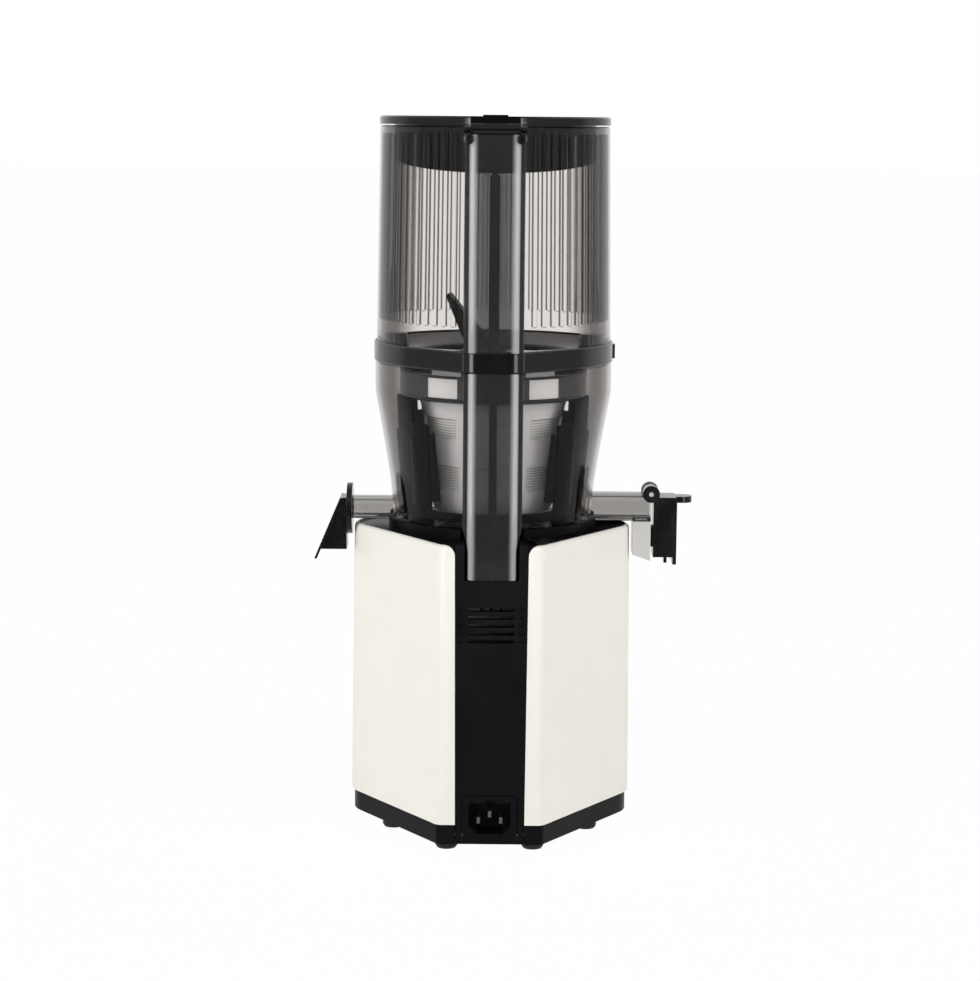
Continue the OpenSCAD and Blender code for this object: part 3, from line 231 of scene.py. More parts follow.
@dataclass(frozen=True)
class SmokyResin:
    """Smoke-tinted copolyester: see-through face on, darker where the wall turns away, with a sharp gloss."""

    name: str
    face_tint: str
    edge_tint: str
    gloss: float = 0.05
    shine: float = 0.05
    haze: float = 0.0
    body: str = "#55565a"
    clear_to: float = 0.2
    dark_from: float = 0.55
    # On a column: a lighter, hazier painted highlight band between these distances from its middle, and
    # painted shade in a darker tint past it.
    highlight_band_mm: tuple[float, float] | None = None
    highlight_tint: str = WHITE
    highlight_glow: float = 0.0
    side_shade_tint: str = "#808182"
    wave_mm: float = 24.0

    def tint(self, tree: Tree, place: Socket, facing: Socket) -> tuple[Socket, Socket]:
        """Gives the film's colour, by the wall's slant and, on a column, with a painted highlight band down
        each shoulder and painted shade past it.

        Args:
            tree: Node tree of the material.
            place: Place on the piece.
            facing: How far the wall turns away.

        Returns:
            The colour socket and the socket of the haze's share.
        """
        slant = eased(tree, facing, (self.clear_to, self.dark_from), (0.0, 1.0))
        wall = blend(tree, slant, self.face_tint, self.edge_tint)
        if self.highlight_band_mm is None:
            share = add_node(tree, "Value").outputs[0]
            share.default_value = self.haze
            return wall, share
        across = add_node(tree, "SeparateXYZ", links={0: place}).outputs["X"]
        across = maths(tree, "ABSOLUTE", across)
        low, high = self.highlight_band_mm
        # Painted highlight down each shoulder, with extra haze there; past the band the sides take painted
        # shade.
        painted_highlight_share = eased(tree, across, ((low - 2.6) * MM, (low + 1.2) * MM), (0.0, 1.0))
        past = eased(tree, across, ((high - 0.5) * MM, (high + 0.6) * MM), (0.0, 1.0))
        wall_with_painted_highlight = blend(tree, painted_highlight_share, wall, self.highlight_tint)
        glow = maths(tree, "MULTIPLY_ADD", maths(tree, "SUBTRACT", painted_highlight_share, past), self.highlight_glow, self.haze)
        return blend(tree, past, wall_with_painted_highlight, self.side_shade_tint), glow

    def material(self) -> Finish:
        """Builds the material: a tinted, hazy film under a skin that mirrors more at the edge.

        Returns:
            The material.
        """
        material, tree = new_tree(self.name)
        place = add_node(tree, "TexCoord").outputs["Object"]
        facing = add_node(tree, "LayerWeight", {"Blend": 0.5}).outputs["Facing"]
        colour, share_of_haze = self.tint(tree, place, facing)
        film = add_node(tree, "BsdfTransparent", links={"Color": colour})
        haze = add_node(tree, "BsdfDiffuse", {"Color": linear(self.body)})
        links = {0: share_of_haze, 1: film.outputs["BSDF"], 2: haze.outputs["BSDF"]}
        cloudy = add_node(tree, "MixShader", links=links)
        bump = relief(tree, noise(tree, place, self.wave_mm), 0.06, 0.5)
        skin = add_node(
            tree, "BsdfAnisotropic", {"Color": linear(WHITE), "Roughness": self.gloss},
            {"Normal": bump.outputs["Normal"]},
        )
        share = maths(tree, "MULTIPLY_ADD", maths(tree, "POWER", facing, 5.0), 1 - self.shine, self.shine)
        links = {0: share, 1: cloudy.outputs["Shader"], 2: skin.outputs["BSDF"]}
        mix = add_node(tree, "MixShader", links=links)
        finish_surface(tree, mix.outputs["Shader"])
        return material


@dataclass(frozen=True)
class BrushedMetal:
    """Turned or drawn metal: fine lines along one axis and a soft, stretched highlight."""

    name: str
    colour: str
    roughness: float
    line_mm: float = 0.5
    stretch: float = 0.06

    def material(self) -> Finish:
        """Builds the material: bare metal whose roughness and height follow stretched noise.

        Returns:
            The material.
        """
        material, tree = new_tree(self.name)
        place = add_node(tree, "TexCoord").outputs["Object"]
        drawn = add_node(tree, "Mapping", {"Scale": (1.0, 1.0, self.stretch)}, {"Vector": place})
        lines = noise(tree, drawn.outputs["Vector"], self.line_mm)
        rough = eased(tree, lines, (0.0, 1.0), (self.roughness - 0.06, self.roughness + 0.08), "LINEAR")
        surface = add_node(
            tree, "BsdfPrincipled", {"Base Color": linear(self.colour), "Metallic": 1.0},
            {"Roughness": rough, "Normal": relief(tree, lines, 0.08, 0.1).outputs["Normal"]},
        )
        finish_surface(tree, surface.outputs["BSDF"])
        return material


@dataclass(frozen=True)
class PerforatedSteel:
    """Stainless strainer sheet, matt from etching, with its fine round holes drawn coarse enough to show."""

    name: str
    colour: str = WHITE
    hole_colour: str = "#a4a5a7"
    hole_pitch_mm: float = 1.7
    hole_share: float = 0.33
    radius_mm: float = 40.0
    roughness: float = 0.4

    def material(self) -> Finish:
        """Builds the material: a matt sheet with darker holes laid out round the axis.

        Returns:
            The material.
        """
        material, tree = new_tree(self.name)
        place = add_node(tree, "TexCoord").outputs["Object"]
        axes = add_node(tree, "SeparateXYZ", links={0: place}).outputs
        run = maths(tree, "MULTIPLY", maths(tree, "ARCTAN2", axes["X"], axes["Y"]), self.radius_mm * MM)
        rolled_out = add_node(tree, "CombineXYZ", links={"X": run, "Y": axes["Z"]})
        dots = add_node(
            tree, "TexVoronoi",
            {"voronoi_dimensions": "2D", "Scale": 1 / (self.hole_pitch_mm * MM), "Randomness": 0.0},
            {"Vector": rolled_out.outputs["Vector"]},
        )
        hole = maths(tree, "LESS_THAN", dots.outputs["Distance"], self.hole_share)
        surface = add_node(
            tree, "BsdfPrincipled", {"Roughness": self.roughness},
            {"Base Color": blend(tree, hole, self.colour, self.hole_colour)},
        )
        finish_surface(tree, surface.outputs["BSDF"])
        return material


FINISHES = {
    "cream_plastic": MouldedPlastic("cream_abs_satin", "#f1eee6", "#ece9e0", 0.36, specular=0.4),
    "black_plastic": MouldedPlastic(
        "black_abs_fine_grain", "#0a0a0b", "#0d0d0e", 0.36, grain_height=0.02, specular=0.09, edge_mm=0.5
    ),
    "gloss_black": MouldedPlastic(
        "black_abs_polished", "#0a0a0b", "#0e0e0f", 0.14, grain_height=0.01, specular=0.42, edge_mm=0.4
    ),
    "smoke_clear": SmokyResin("smoke_copolyester", "#f7f6f5", "#c9c7c6", shine=0.011),
    "smoke_lid": SmokyResin(
        "dark_smoke_copolyester", "#2b2b2e", "#0c0c0d", gloss=0.1, shine=0.04, haze=0.5, body="#0c0c0d"
    ),
    "strainer_grey": SmokyResin(
        "grey_heatproof_resin", "#b4b5b8", "#8c8e92", gloss=0.3, shine=0.03, haze=0.92, body="#f6f6f8"
    ),
    "nozzle_white": MouldedPlastic(
        "milky_copolyester", "#d8d7d4", "#d0cfcc", 0.22, grain_height=0.01, edge_mm=0.5
    ),
    "steel": BrushedMetal("stainless_steel_drawn", "#c3c5c8", 0.28),
    "laminated_steel": BrushedMetal("laminated_iron", "#6a6b6e", 0.45),
    "zinc": BrushedMetal("die_cast_zinc", "#a2a4a7", 0.5, line_mm=2.0),
    "nylon": MouldedPlastic("natural_nylon", "#e3dfd2", "#dad6c8", 0.4),
    "rubber_black": MouldedPlastic("black_rubber", "#111111", "#161616", 0.62, grain_height=0.15),
    "silicone": MouldedPlastic(
        "smoke_grey_silicone", "#2e2e2f", "#29292a", 0.5, grain_height=0.006, specular=0.15
    ),
    "board_green": MouldedPlastic("green_solder_mask", "#1d5b36", "#17502e", 0.35),
}
SHELL_FINISHES = {
    # Rear column: painted highlight bands down its shoulders and painted shade on its sides.
    "column": SmokyResin(
        "smoke_copolyester_column", "#a6a6a7", "#828283", shine=0.016, haze=0.026, body="#dcdcdc",
        highlight_band_mm=(12.2, 15.2), highlight_tint="#bebebe", highlight_glow=0.46, side_shade_tint="#6c6c6d",
    ),
    # Flute flanks: a darker film, painted shade for the light that the flutes bend away.
    "flank": SmokyResin("smoke_copolyester_flute", "#7c7b7a", "#6a6a69", shine=0.02),
    "spout": SmokyResin(
        "smoke_copolyester_spout", "#e2e1e0", "#2c2c2c", shine=0.04, clear_to=0.35, dark_from=0.8
    ),
    # The strainer's upper ring: the strainer's resin with a darker tint and body, painted shade under the
    # hopper's floor and collar.
    "ring": SmokyResin(
        "smoke_grey_resin", "#a2a3a5", "#77787a", gloss=0.2, shine=0.03, haze=0.4, body="#47484a"
    ),
    "pane": SmokyResin("frosted_resin", WHITE, "#d8d8d9", gloss=0.3, shine=0.03, haze=0.92, body=WHITE),
    "sheet": PerforatedSteel("strainer_sheet_steel"),
    "wiper": MouldedPlastic(
        "black_abs_smooth", "#0a0a0b", "#0d0d0e", 0.5, grain_height=0.001, specular=0.05, edge_mm=0.5
    ),
}
ROD_PLASTIC = MouldedPlastic("grey_acetal", "#3c3c3e", "#363638", 0.4, specular=0.2)
NODE_FINISHES = {
    "hopper_push_rod": ROD_PLASTIC,
    "lower_push_rod": ROD_PLASTIC,
    "base_spine": MouldedPlastic(
        "black_abs_spine", "#08080a", "#0b0b0c", 0.3, grain_height=0.03, specular=0.14, edge_mm=0.9
    ),
    "inlet_pins": BrushedMetal("nickel_plated_brass", "#77777a", 0.35),
    "auger": MouldedPlastic("black_heatproof_resin", "#0c0c0d", "#101011", 0.3, specular=0.2, edge_mm=0.4),
}


# ---------- Studio ----------


@dataclass(frozen=True)
class Camera:
    """The view from behind the juicer: a portrait lens a little above the hopper, pitched down."""

    aside: float = 1.5 * MM
    away: float = 1550 * MM
    height: float = 455 * MM
    pitch_deg: float = 8.78
    roll_deg: float = 0.5
    lens: float = 89.2
    sensor: float = 36.0

    def create(self) -> None:
        """Adds the camera and makes it the scene's."""
        data = bpy.data.cameras.new("back_camera")
        data.lens = self.lens
        data.sensor_width = self.sensor
        data.clip_start = 0.05
        camera = bpy.data.objects.new("back_camera", data)
        bpy.context.scene.collection.objects.link(camera)
        turn = Matrix.Rotation(math.pi, 4, "Z") @ Matrix.Rotation(math.radians(90 - self.pitch_deg), 4, "X")
        turn = turn @ Matrix.Rotation(math.radians(self.roll_deg), 4, "Z")
        camera.matrix_world = Matrix.Translation((self.aside, self.away, self.height)) @ turn
        bpy.context.scene.camera = camera


@dataclass(frozen=True)
class SoftBox:
    """One rectangular studio light that looks at the juicer."""

    name: str
    place: Corner
    width: float
    height: float
    watts: float
    gloss_only: bool = False

    def create(self, aim: Vector) -> None:
        """Adds the light.

        Args:
            aim: Point that the light faces.
        """
        data = bpy.data.lights.new(self.name, "AREA")
        data.shape = "RECTANGLE"
        data.size = self.width
        data.size_y = self.height
        data.energy = self.watts
        lamp = bpy.data.objects.new(self.name, data)
        lamp.visible_diffuse = not self.gloss_only
        lamp.visible_glossy = self.gloss_only
        bpy.context.scene.collection.objects.link(lamp)
        lamp.location = self.place
        lamp.rotation_euler = (aim - Vector(self.place)).to_track_quat("-Z", "Y").to_euler()


@dataclass(frozen=True)
class Studio:
    """White sweep, soft boxes and a world that is white to the camera and shaded to the gloss.

    Pairs of stops are read along the Y part of a ray's way, where 1 looks straight back past the camera.
    """

    boxes: tuple[SoftBox, ...] = (
        SoftBox("left_strip", (0.45, 1.22, 0.55), 0.34, 1.1, 8.0, gloss_only=True),
        SoftBox("right_strip", (-0.45, 1.22, 0.55), 0.34, 1.1, 5.5, gloss_only=True),
        SoftBox("key_box", (0.9, 2.2, 1.1), 1.6, 1.6, 1.0),
        SoftBox("left_box", (2.15, 1.15, 0.9), 1.2, 1.6, 29.5),
        SoftBox("right_box", (-2.15, 1.15, 0.9), 1.2, 1.6, 24.5),
        SoftBox("top_box", (0.0, 0.2, 1.6), 1.2, 1.2, 3.0),
    )
    seen_white: float = 1.0
    back_white: float = 1.0
    back_stops: tuple[float, float] = (0.2, -0.3)
    side_grey: float = 0.5
    room_dark: float = 0.08
    room_stops: tuple[float, float] = (0.985, 0.94)
    fill: float = 0.83
    fill_behind: float = 0.14
    fill_stops: tuple[float, float] = (0.0, 0.5)
    floor_size: float = 40.0
    floor_glow: float = 0.985
    clear_bounces: int = 40

    def world(self) -> None:
        """Makes the world white to the camera and a softer white to the light."""
        world = bpy.data.worlds.new("white_studio")
        bpy.context.scene.world = world
        world.use_nodes = True
        tree = world.node_tree
        tree.nodes.clear()
        path = add_node(tree, "LightPath").outputs
        way = add_node(tree, "TexCoord").outputs["Generated"]
        back = add_node(tree, "SeparateXYZ", links={0: way}).outputs["Y"]
        beside = eased(tree, back, self.room_stops, (self.room_dark, self.side_grey))
        spread = eased(tree, back, self.fill_stops, (self.fill_behind, self.fill))
        behind = eased(tree, back, self.back_stops, (0.0, self.back_white))
        sweep = maths(tree, "MAXIMUM", beside, behind)
        bounced = maths(tree, "MAXIMUM", path["Is Glossy Ray"], path["Is Transmission Ray"])
        glossy = add_node(tree, "Mix", links={0: bounced, 2: spread, 3: sweep})
        links = {0: path["Is Camera Ray"], 2: glossy.outputs[0]}
        strength = add_node(tree, "Mix", {3: self.seen_white}, links).outputs[0]
        light = add_node(tree, "Background", {"Color": linear(WHITE)}, {"Strength": strength})
        add_node(tree, "OutputWorld", links={"Surface": light.outputs["Background"]})

    def floor(self) -> None:
        """Adds the plain white floor."""
        deselect()
        bpy.ops.mesh.primitive_plane_add(size=self.floor_size, location=(0.0, 0.0, 0.0))
        floor = bpy.context.object
        floor.name = "studio_floor"
        material, tree = new_tree("white_paper_sweep")
        path = add_node(tree, "LightPath").outputs
        paper = add_node(tree, "BsdfDiffuse", {"Color": linear(WHITE)})
        glow = add_node(tree, "Emission", {"Color": linear(WHITE), "Strength": 1.0})
        seen = maths(tree, "MULTIPLY", path["Is Camera Ray"], self.floor_glow)
        links = {0: seen, 1: paper.outputs["BSDF"], 2: glow.outputs["Emission"]}
        surface = add_node(tree, "MixShader", links=links)
        finish_surface(tree, surface.outputs["Shader"])
        floor.data.materials.append(material)
        floor.visible_glossy = False

    def create(self) -> None:
        """Builds the whole studio and sets the colour handling."""
        self.world()
        self.floor()
        for box in self.boxes:
            box.create(Vector((0.0, 0.0, box.place[2])))
        bpy.context.scene.view_settings.view_transform = "Standard"
        bpy.context.scene.cycles.transparent_max_bounces = self.clear_bounces


# ---------- Modelling ----------


def deselect() -> None:
    """Deselects every object."""
    bpy.ops.object.select_all(action="DESELECT")


def select(piece: Piece) -> None:
    """Makes a piece the only selected object and the active one.

    Args:
        piece: Piece in object mode.
    """
    deselect()
    piece.select_set(True)
    bpy.context.view_layer.objects.active = piece


def arc(centre: tuple[float, float], radius: float, start: float, end: float, steps: int) -> Plan:
    """Lists the points of an arc in a plan, from its first angle in degrees to its last."""
    angles = [math.radians(start + (end - start) * i / steps) for i in range(steps + 1)]
    return [(centre[0] + radius * math.cos(a), centre[1] + radius * math.sin(a)) for a in angles]


def disc(radius: float, steps: int = 144, centre: tuple[float, float] = (0.0, 0.0)) -> Plan:
    """Lists the points of a full circle in a plan."""
    return arc(centre, radius, 0, 360 - 360 / steps, steps - 1)


def sector(radii: tuple[float, float], start: float, end: float) -> Plan:
    """Lists the corners of a plan between two radii and two angles in degrees."""
    return arc((0.0, 0.0), radii[0], start, end, 1) + arc((0.0, 0.0), radii[1], end, start, 1)


def rounded(corners: Plan, radii: list[float], steps: int = 6) -> Plan:
    """Rounds the corners of a convex plan that is listed anticlockwise.

    Args:
        corners: Corner points.
        radii: Radius of each corner.
        steps: Steps of each rounding.

    Returns:
        Points of the rounded plan.
    """
    points = []
    for i, radius in enumerate(radii):
        here = Vector(corners[i])
        back = (Vector(corners[i - 1]) - here).normalized()
        ahead = (Vector(corners[(i + 1) % len(corners)]) - here).normalized()
        half = back.angle(ahead) / 2
        centre = here + (back + ahead).normalized() * radius / math.sin(half)
        start = here + back * radius / math.tan(half) - centre
        turn = math.degrees(math.pi - 2 * half)
        first = math.degrees(math.atan2(start.y, start.x))
        points += arc(tuple(centre), radius, first, first + turn, steps)
    return points


def mirrored(half: Plan) -> Plan:
    """Closes a plan whose half at positive X is listed from rear to front, with no point on the axis."""
    return half + [(-x, y) for x, y in reversed(half)]


def raise_plan(name: str, plan: Plan, levels: Levels) -> Piece:
    """Starts a piece as a closed loop and extrudes it from level to level.

    Args:
        name: Name of the piece.
        plan: Points of the loop in millimetres.
        levels: Height in millimetres and the plan's scale along X and Y there.

    Returns:
        The piece, in edit mode, with its last loop selected.
    """
    deselect()
    bpy.ops.mesh.primitive_circle_add(vertices=len(plan), radius=1.0)
    piece = bpy.context.object
    piece.name = name
    height, scale_x, scale_y = levels[0]
    for vertex, (x, y) in zip(piece.data.vertices, plan):
        vertex.co = Vector((x * scale_x, y * scale_y, height)) * MM
    bpy.context.tool_settings.mesh_select_mode = (True, False, False)
    bpy.ops.object.mode_set(mode="EDIT")
    bpy.ops.mesh.select_all(action="SELECT")
    for below, above in pairwise(levels):
        rise = (0, 0, (above[0] - below[0]) * MM)
        bpy.ops.mesh.extrude_region_move(TRANSFORM_OT_translate={"value": rise})
        bpy.ops.transform.resize(
            value=(above[1] / below[1], above[2] / below[2], 1), center_override=(0, 0, above[0] * MM)
        )
    return piece


def turned(name: str, profile: Plan | Profile, steps: int = 120) -> Piece:
    """Makes a piece as a ring that is extruded round a closed profile, as on a lathe.

    Args:
        name: Name of the piece.
        profile: Radius and height of each ring in millimetres.
        steps: Vertices of each ring.

    Returns:
        The piece in object mode.
    """
    ring = [(math.sin(2 * math.pi * i / steps), math.cos(2 * math.pi * i / steps)) for i in range(steps)]
    levels = [(height, radius, radius) for radius, height in [*profile, profile[0]]]
    piece = raise_plan(name, ring, levels)
    bpy.ops.mesh.select_all(action="SELECT")
    bpy.ops.mesh.remove_doubles(threshold=1e-6)
    leave_edit()
    return piece


def choose(piece: Piece, part: Part, test: Callable) -> None:
    """Selects part of a piece in edit mode.

    Args:
        piece: Piece in edit mode.
        part: What is selected.
        test: Says of each vertex, edge or face whether it is wanted.
    """
    bpy.context.tool_settings.mesh_select_mode = tuple(part is kind for kind in Part)
    mesh = bmesh.from_edit_mesh(piece.data)
    for item in (*mesh.faces, *mesh.edges, *mesh.verts):
        item.select_set(False)
    for item in [item for item in getattr(mesh, part.value) if test(item)]:
        item.select_set(True)
    mesh.select_flush_mode()
    bmesh.update_edit_mesh(piece.data)


def middle(item: bmesh.types.BMEdge | bmesh.types.BMFace) -> Vector:
    """Gives the middle of an edge or face in millimetres."""
    return sum((v.co for v in item.verts), Vector()) / len(item.verts) / MM


def cap(piece: Piece, height: float) -> None:
    """Closes the open loop at a height of a piece in edit mode."""
    choose(piece, Part.EDGES, lambda e: e.is_boundary and abs(middle(e).z - height) < 0.02)
    bpy.ops.mesh.edge_face_add()


def modify(piece: Piece, kind: str, **settings: float | int | bool | str) -> None:
    """Adds a modifier and applies it.

    Args:
        piece: Piece in object mode.
        kind: Blender's type name of the modifier.
        **settings: Settings of the modifier.
    """
    modifier = piece.modifiers.new(kind.lower(), kind)
    for key, value in settings.items():
        setattr(modifier, key, value)
    bpy.context.view_layer.objects.active = piece
    bpy.ops.object.modifier_apply(modifier=modifier.name)


def leave_edit() -> None:
    """Makes the faces of the piece in edit mode point outwards and goes back to object mode."""
    bpy.ops.mesh.select_all(action="SELECT")
    bpy.ops.mesh.normals_make_consistent(inside=False)
    bpy.ops.object.mode_set(mode="OBJECT")


def soften(piece: Piece, width: float, segments: int = 3, sharp_deg: float = 40.0) -> None:
    """Rounds the sharp edges of a piece and shades the rest smooth.

    Args:
        piece: Piece in object mode.
        width: Width of the rounding in millimetres.
        segments: Faces across the rounding.
        sharp_deg: Angle past which an edge is rounded.
    """
    modify(
        piece, "BEVEL", width=width * MM, segments=segments, limit_method="ANGLE",
        angle_limit=math.radians(sharp_deg),
    )
    smooth(piece)


def smooth(piece: Piece, sharp_deg: float = 35.0) -> None:
    """Shades a piece smooth where its faces turn by less than an angle."""
    select(piece)
    bpy.ops.object.shade_smooth_by_angle(angle=math.radians(sharp_deg))


def dress(piece: Piece, material: Finish, slot: str, body: Body, *nodes: str) -> None:
    """Gives a finished piece its material and its place in the juicer.

    Args:
        piece: Finished piece in object mode.
        material: Its material.
        slot: Name of a material slot; not used.
        body: Body that it rides on.
        *nodes: CAD nodes that it stands for.
    """
    piece.data.materials.clear()
    piece.data.materials.append(material)
    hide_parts(*nodes)
    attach(piece, body.value)
    LOG.info("%s: %d faces on %s", piece.name, len(piece.data.polygons), body.value)


def cut(piece: Piece, *others: Piece, operation: str = "DIFFERENCE") -> None:
    """Takes solids out of a piece, or adds them to it, and deletes them.

    Args:
        piece: Piece in object mode.
        *others: Closed solids in object mode.
        operation: "DIFFERENCE", or "UNION" to add them.
    """
    for other in others:
        modify(piece, "BOOLEAN", operation=operation, solver="EXACT", object=other)
        bpy.data.objects.remove(other)


def add(piece: Piece, *others: Piece) -> None:
    """Joins solids to a piece as one body and deletes them."""
    cut(piece, *others, operation="UNION")


def join(pieces: list[Piece]) -> Piece:
    """Joins pieces into the first one.

    Args:
        pieces: Pieces in object mode.

    Returns:
        The joined piece, named after the first.
    """
    select(pieces[0])
    for piece in pieces[1:]:
        piece.select_set(True)
    if len(pieces) > 1:
        bpy.ops.object.join()
    return pieces[0]


def solid(name: str, plan: Plan, levels: Levels) -> Piece:
    """Raises a plan through levels and closes both ends.

    Args:
        name: Name of the piece.
        plan: Points of the loop in millimetres.
        levels: Height in millimetres and the plan's scale along X and Y there.

    Returns:
        The closed piece in object mode.
    """
    piece = raise_plan(name, plan, levels)
    cap(piece, levels[0][0])
    cap(piece, levels[-1][0])
    leave_edit()
    return piece


def prism(name: str, plan: Plan, low: float, high: float) -> Piece:
    """Raises a plan straight up between two heights."""
    return solid(name, plan, [(low, 1.0, 1.0), (high, 1.0, 1.0)])


def block(name: str, low: Corner, high: Corner) -> Piece:
    """Makes a rectangular solid between two corners in millimetres."""
    plan = [(low[0], low[1]), (high[0], low[1]), (high[0], high[1]), (low[0], high[1])]
    return prism(name, plan, low[2], high[2])


def laid(piece: Piece, axis: str) -> Piece:
    """Turns a raised piece so that its height runs along another axis.

    Args:
        piece: Piece in object mode.
        axis: "X", where the plan becomes Y and Z, or "Y", where it becomes X and Z.

    Returns:
        The piece.
    """
    along_x = Matrix(((0, 0, 1, 0), (1, 0, 0, 0), (0, 1, 0, 0), (0, 0, 0, 1)))
    along_y = Matrix(((1, 0, 0, 0), (0, 0, 1, 0), (0, 1, 0, 0), (0, 0, 0, 1)))
    piece.matrix_world = along_x if axis == "X" else along_y
    select(piece)
    bpy.ops.object.transform_apply(location=True, rotation=True, scale=True)
    bpy.ops.object.mode_set(mode="EDIT")
    leave_edit()
    return piece


def rod(
    name: str, axis: str, centre: tuple[float, float], radius: float, low: float, high: float
) -> Piece:
    """Makes a round bar along X, with its centre given as (y, z), or along Y, with (x, z)."""
    return laid(prism(name, disc(radius, 48, centre), low, high), axis)


@dataclass(frozen=True)
class Modelled:
    """Part of the juicer that is modelled here, with the materials by name that its pieces take."""

    looks: dict[str, Finish]


# ---------- Base ----------


@dataclass(frozen=True)
class Base(Modelled):
    """Motor base: cream wrap cover, open at the back round the black spine."""

    half_depth: float = 88.0
    side_x: float = 94.0
    rear_half: float = 32.0
    side_r: float = 24.0
    end_r: float = 6.0
    low: float = 19.0
    top: float = 195.0
    rim_r: float = 3.0
    rim_lean: float = 0.8
    rim_angles: tuple[int, ...] = (0, 25, 50, 75, 90)
    flare: float = 1.8
    wall: float = 2.6
    opening_half: float = 22.65
    opening_foot_half: float = 21.55
    opening_r: float = 7.0
    opening_y: tuple[float, float] = (60.0, 100.0)
    spare: float = 5.0
    edge: float = 1.1

    def plan(self, inset: float) -> Plan:
        """Gives the six-sided plan.

        Args:
            inset: How far it is moved inwards.

        Returns:
            Points of the plan.
        """
        depth = self.half_depth - inset
        slant = (self.side_x - self.rear_half) / self.half_depth
        side = self.side_x - inset * math.hypot(1.0, slant)
        end = side - depth * slant
        corners = [(side, 0), (end, depth), (-end, depth), (-side, 0), (-end, -depth), (end, -depth)]
        radii = [self.side_r - inset, self.end_r - inset, self.end_r - inset] * 2
        return rounded(corners, radii, 8)

    def cutters(self) -> list[Piece]:
        """Makes the cutters of the room inside and of the rear opening, whose upper corners turn outwards.

        Returns:
            Both cutters.
        """
        low, top = self.low - self.spare, self.top + self.spare
        turn = (self.opening_half + self.opening_r, self.top - self.opening_r)
        corner = arc(turn, self.opening_r, 180, 90, 8)
        half = [(self.opening_foot_half, low), *corner, (corner[-1][0], top)]
        opening = prism("opening_cutter", mirrored(half), *self.opening_y)
        return [prism("room_cutter", self.plan(self.wall), low, top), laid(opening, "Y")]

    def build(self) -> None:
        """Builds the wrap cover."""
        swell = 1 + self.flare / self.half_depth
        levels = [(self.low, swell, swell)]
        for angle in self.rim_angles:
            inset = self.rim_lean * self.rim_r * (1 - math.cos(math.radians(angle)))
            height = self.top - self.rim_r * (1 - math.sin(math.radians(angle)))
            levels.append((height, 1 - inset / self.half_depth, 1 - inset / self.half_depth))
        piece = solid("cover_shell", self.plan(0.0), levels)
        cut(piece, *self.cutters())
        soften(piece, self.edge, sharp_deg=50)
        dress(piece, self.looks["cream_plastic"], "cream_plastic", Body.BASE, "base_cover")


# ---------- Rear column ----------


@dataclass(frozen=True)
class Column:
    """Hollow column up the back: a flat face, gently curved shoulders and a tight outer corner."""

    face_y: float = 88.0
    flat_half: float = 10.9
    shoulder_r: float = 14.0
    shoulder_deg: float = 65.0
    corner_r: float = 2.5
    half_w: float = 18.25
    foot_half: float = 15.0
    wall: float = 2.2
    edge: float = 0.6
    front_from: float = 8.0

    def half_plan(self, front_y: float, grow: float = 0.0) -> Plan:
        """Gives the outline at positive X from the face to the front.

        Args:
            front_y: Where the side ends towards the front.
            grow: How far the outline is moved outwards.

        Returns:
            Points from rear to front.
        """
        middle_y = self.face_y - self.shoulder_r
        shoulder = arc((self.flat_half, middle_y), self.shoulder_r + grow, 90, self.shoulder_deg, 8)
        end = math.radians(self.shoulder_deg)
        reach = self.shoulder_r - self.corner_r
        centre = (self.flat_half + reach * math.cos(end), middle_y + reach * math.sin(end))
        corner = arc(centre, self.corner_r + grow, self.shoulder_deg, 0, 5)
        return shoulder + corner[1:] + [(corner[-1][0], front_y)]

    def shell(
        self, name: str, levels: Plan, fronts: tuple[float, float], closed_to: float = 0.0
    ) -> Piece:
        """Builds the open-fronted column.

        Args:
            name: Name of the piece.
            levels: Height and the width's scale there, from the lower end to the upper one.
            fronts: Where the sides end towards the front below and at the upper end.
            closed_to: Height up to which the front is closed, with the lower end closed as well.

        Returns:
            The column in object mode, with its wall and softened edges.
        """
        low, high = levels[0][0], levels[-1][0]
        plan = mirrored(self.half_plan(fronts[0]))
        piece = raise_plan(name, plan, [(z, scale, 1) for z, scale in levels])
        choose(piece, Part.VERTS, lambda v: v.co.z / MM > high - 1 and v.co.y / MM < fronts[0] + 0.1)
        bpy.ops.transform.translate(value=(0, (fronts[1] - fronts[0]) * MM, 0))
        if closed_to:
            cap(piece, low)
        rear, foot = self.face_y - self.front_from, max(closed_to, low + 1)
        choose(
            piece, Part.FACES, lambda f: abs(middle(f).x) < 1 and middle(f).y < rear and middle(f).z > foot
        )
        bpy.ops.mesh.delete(type="FACE")
        leave_edit()
        if not any(f.normal.y > 0 for f in piece.data.polygons if f.center.y / MM > self.face_y - 0.5):
            piece.data.flip_normals()
        modify(piece, "SOLIDIFY", thickness=self.wall * MM, offset=-1.0, use_even_offset=True)
        soften(piece, self.edge, sharp_deg=60)
        return piece


COLUMN = Column()


# ---------- Hopper and lid ----------


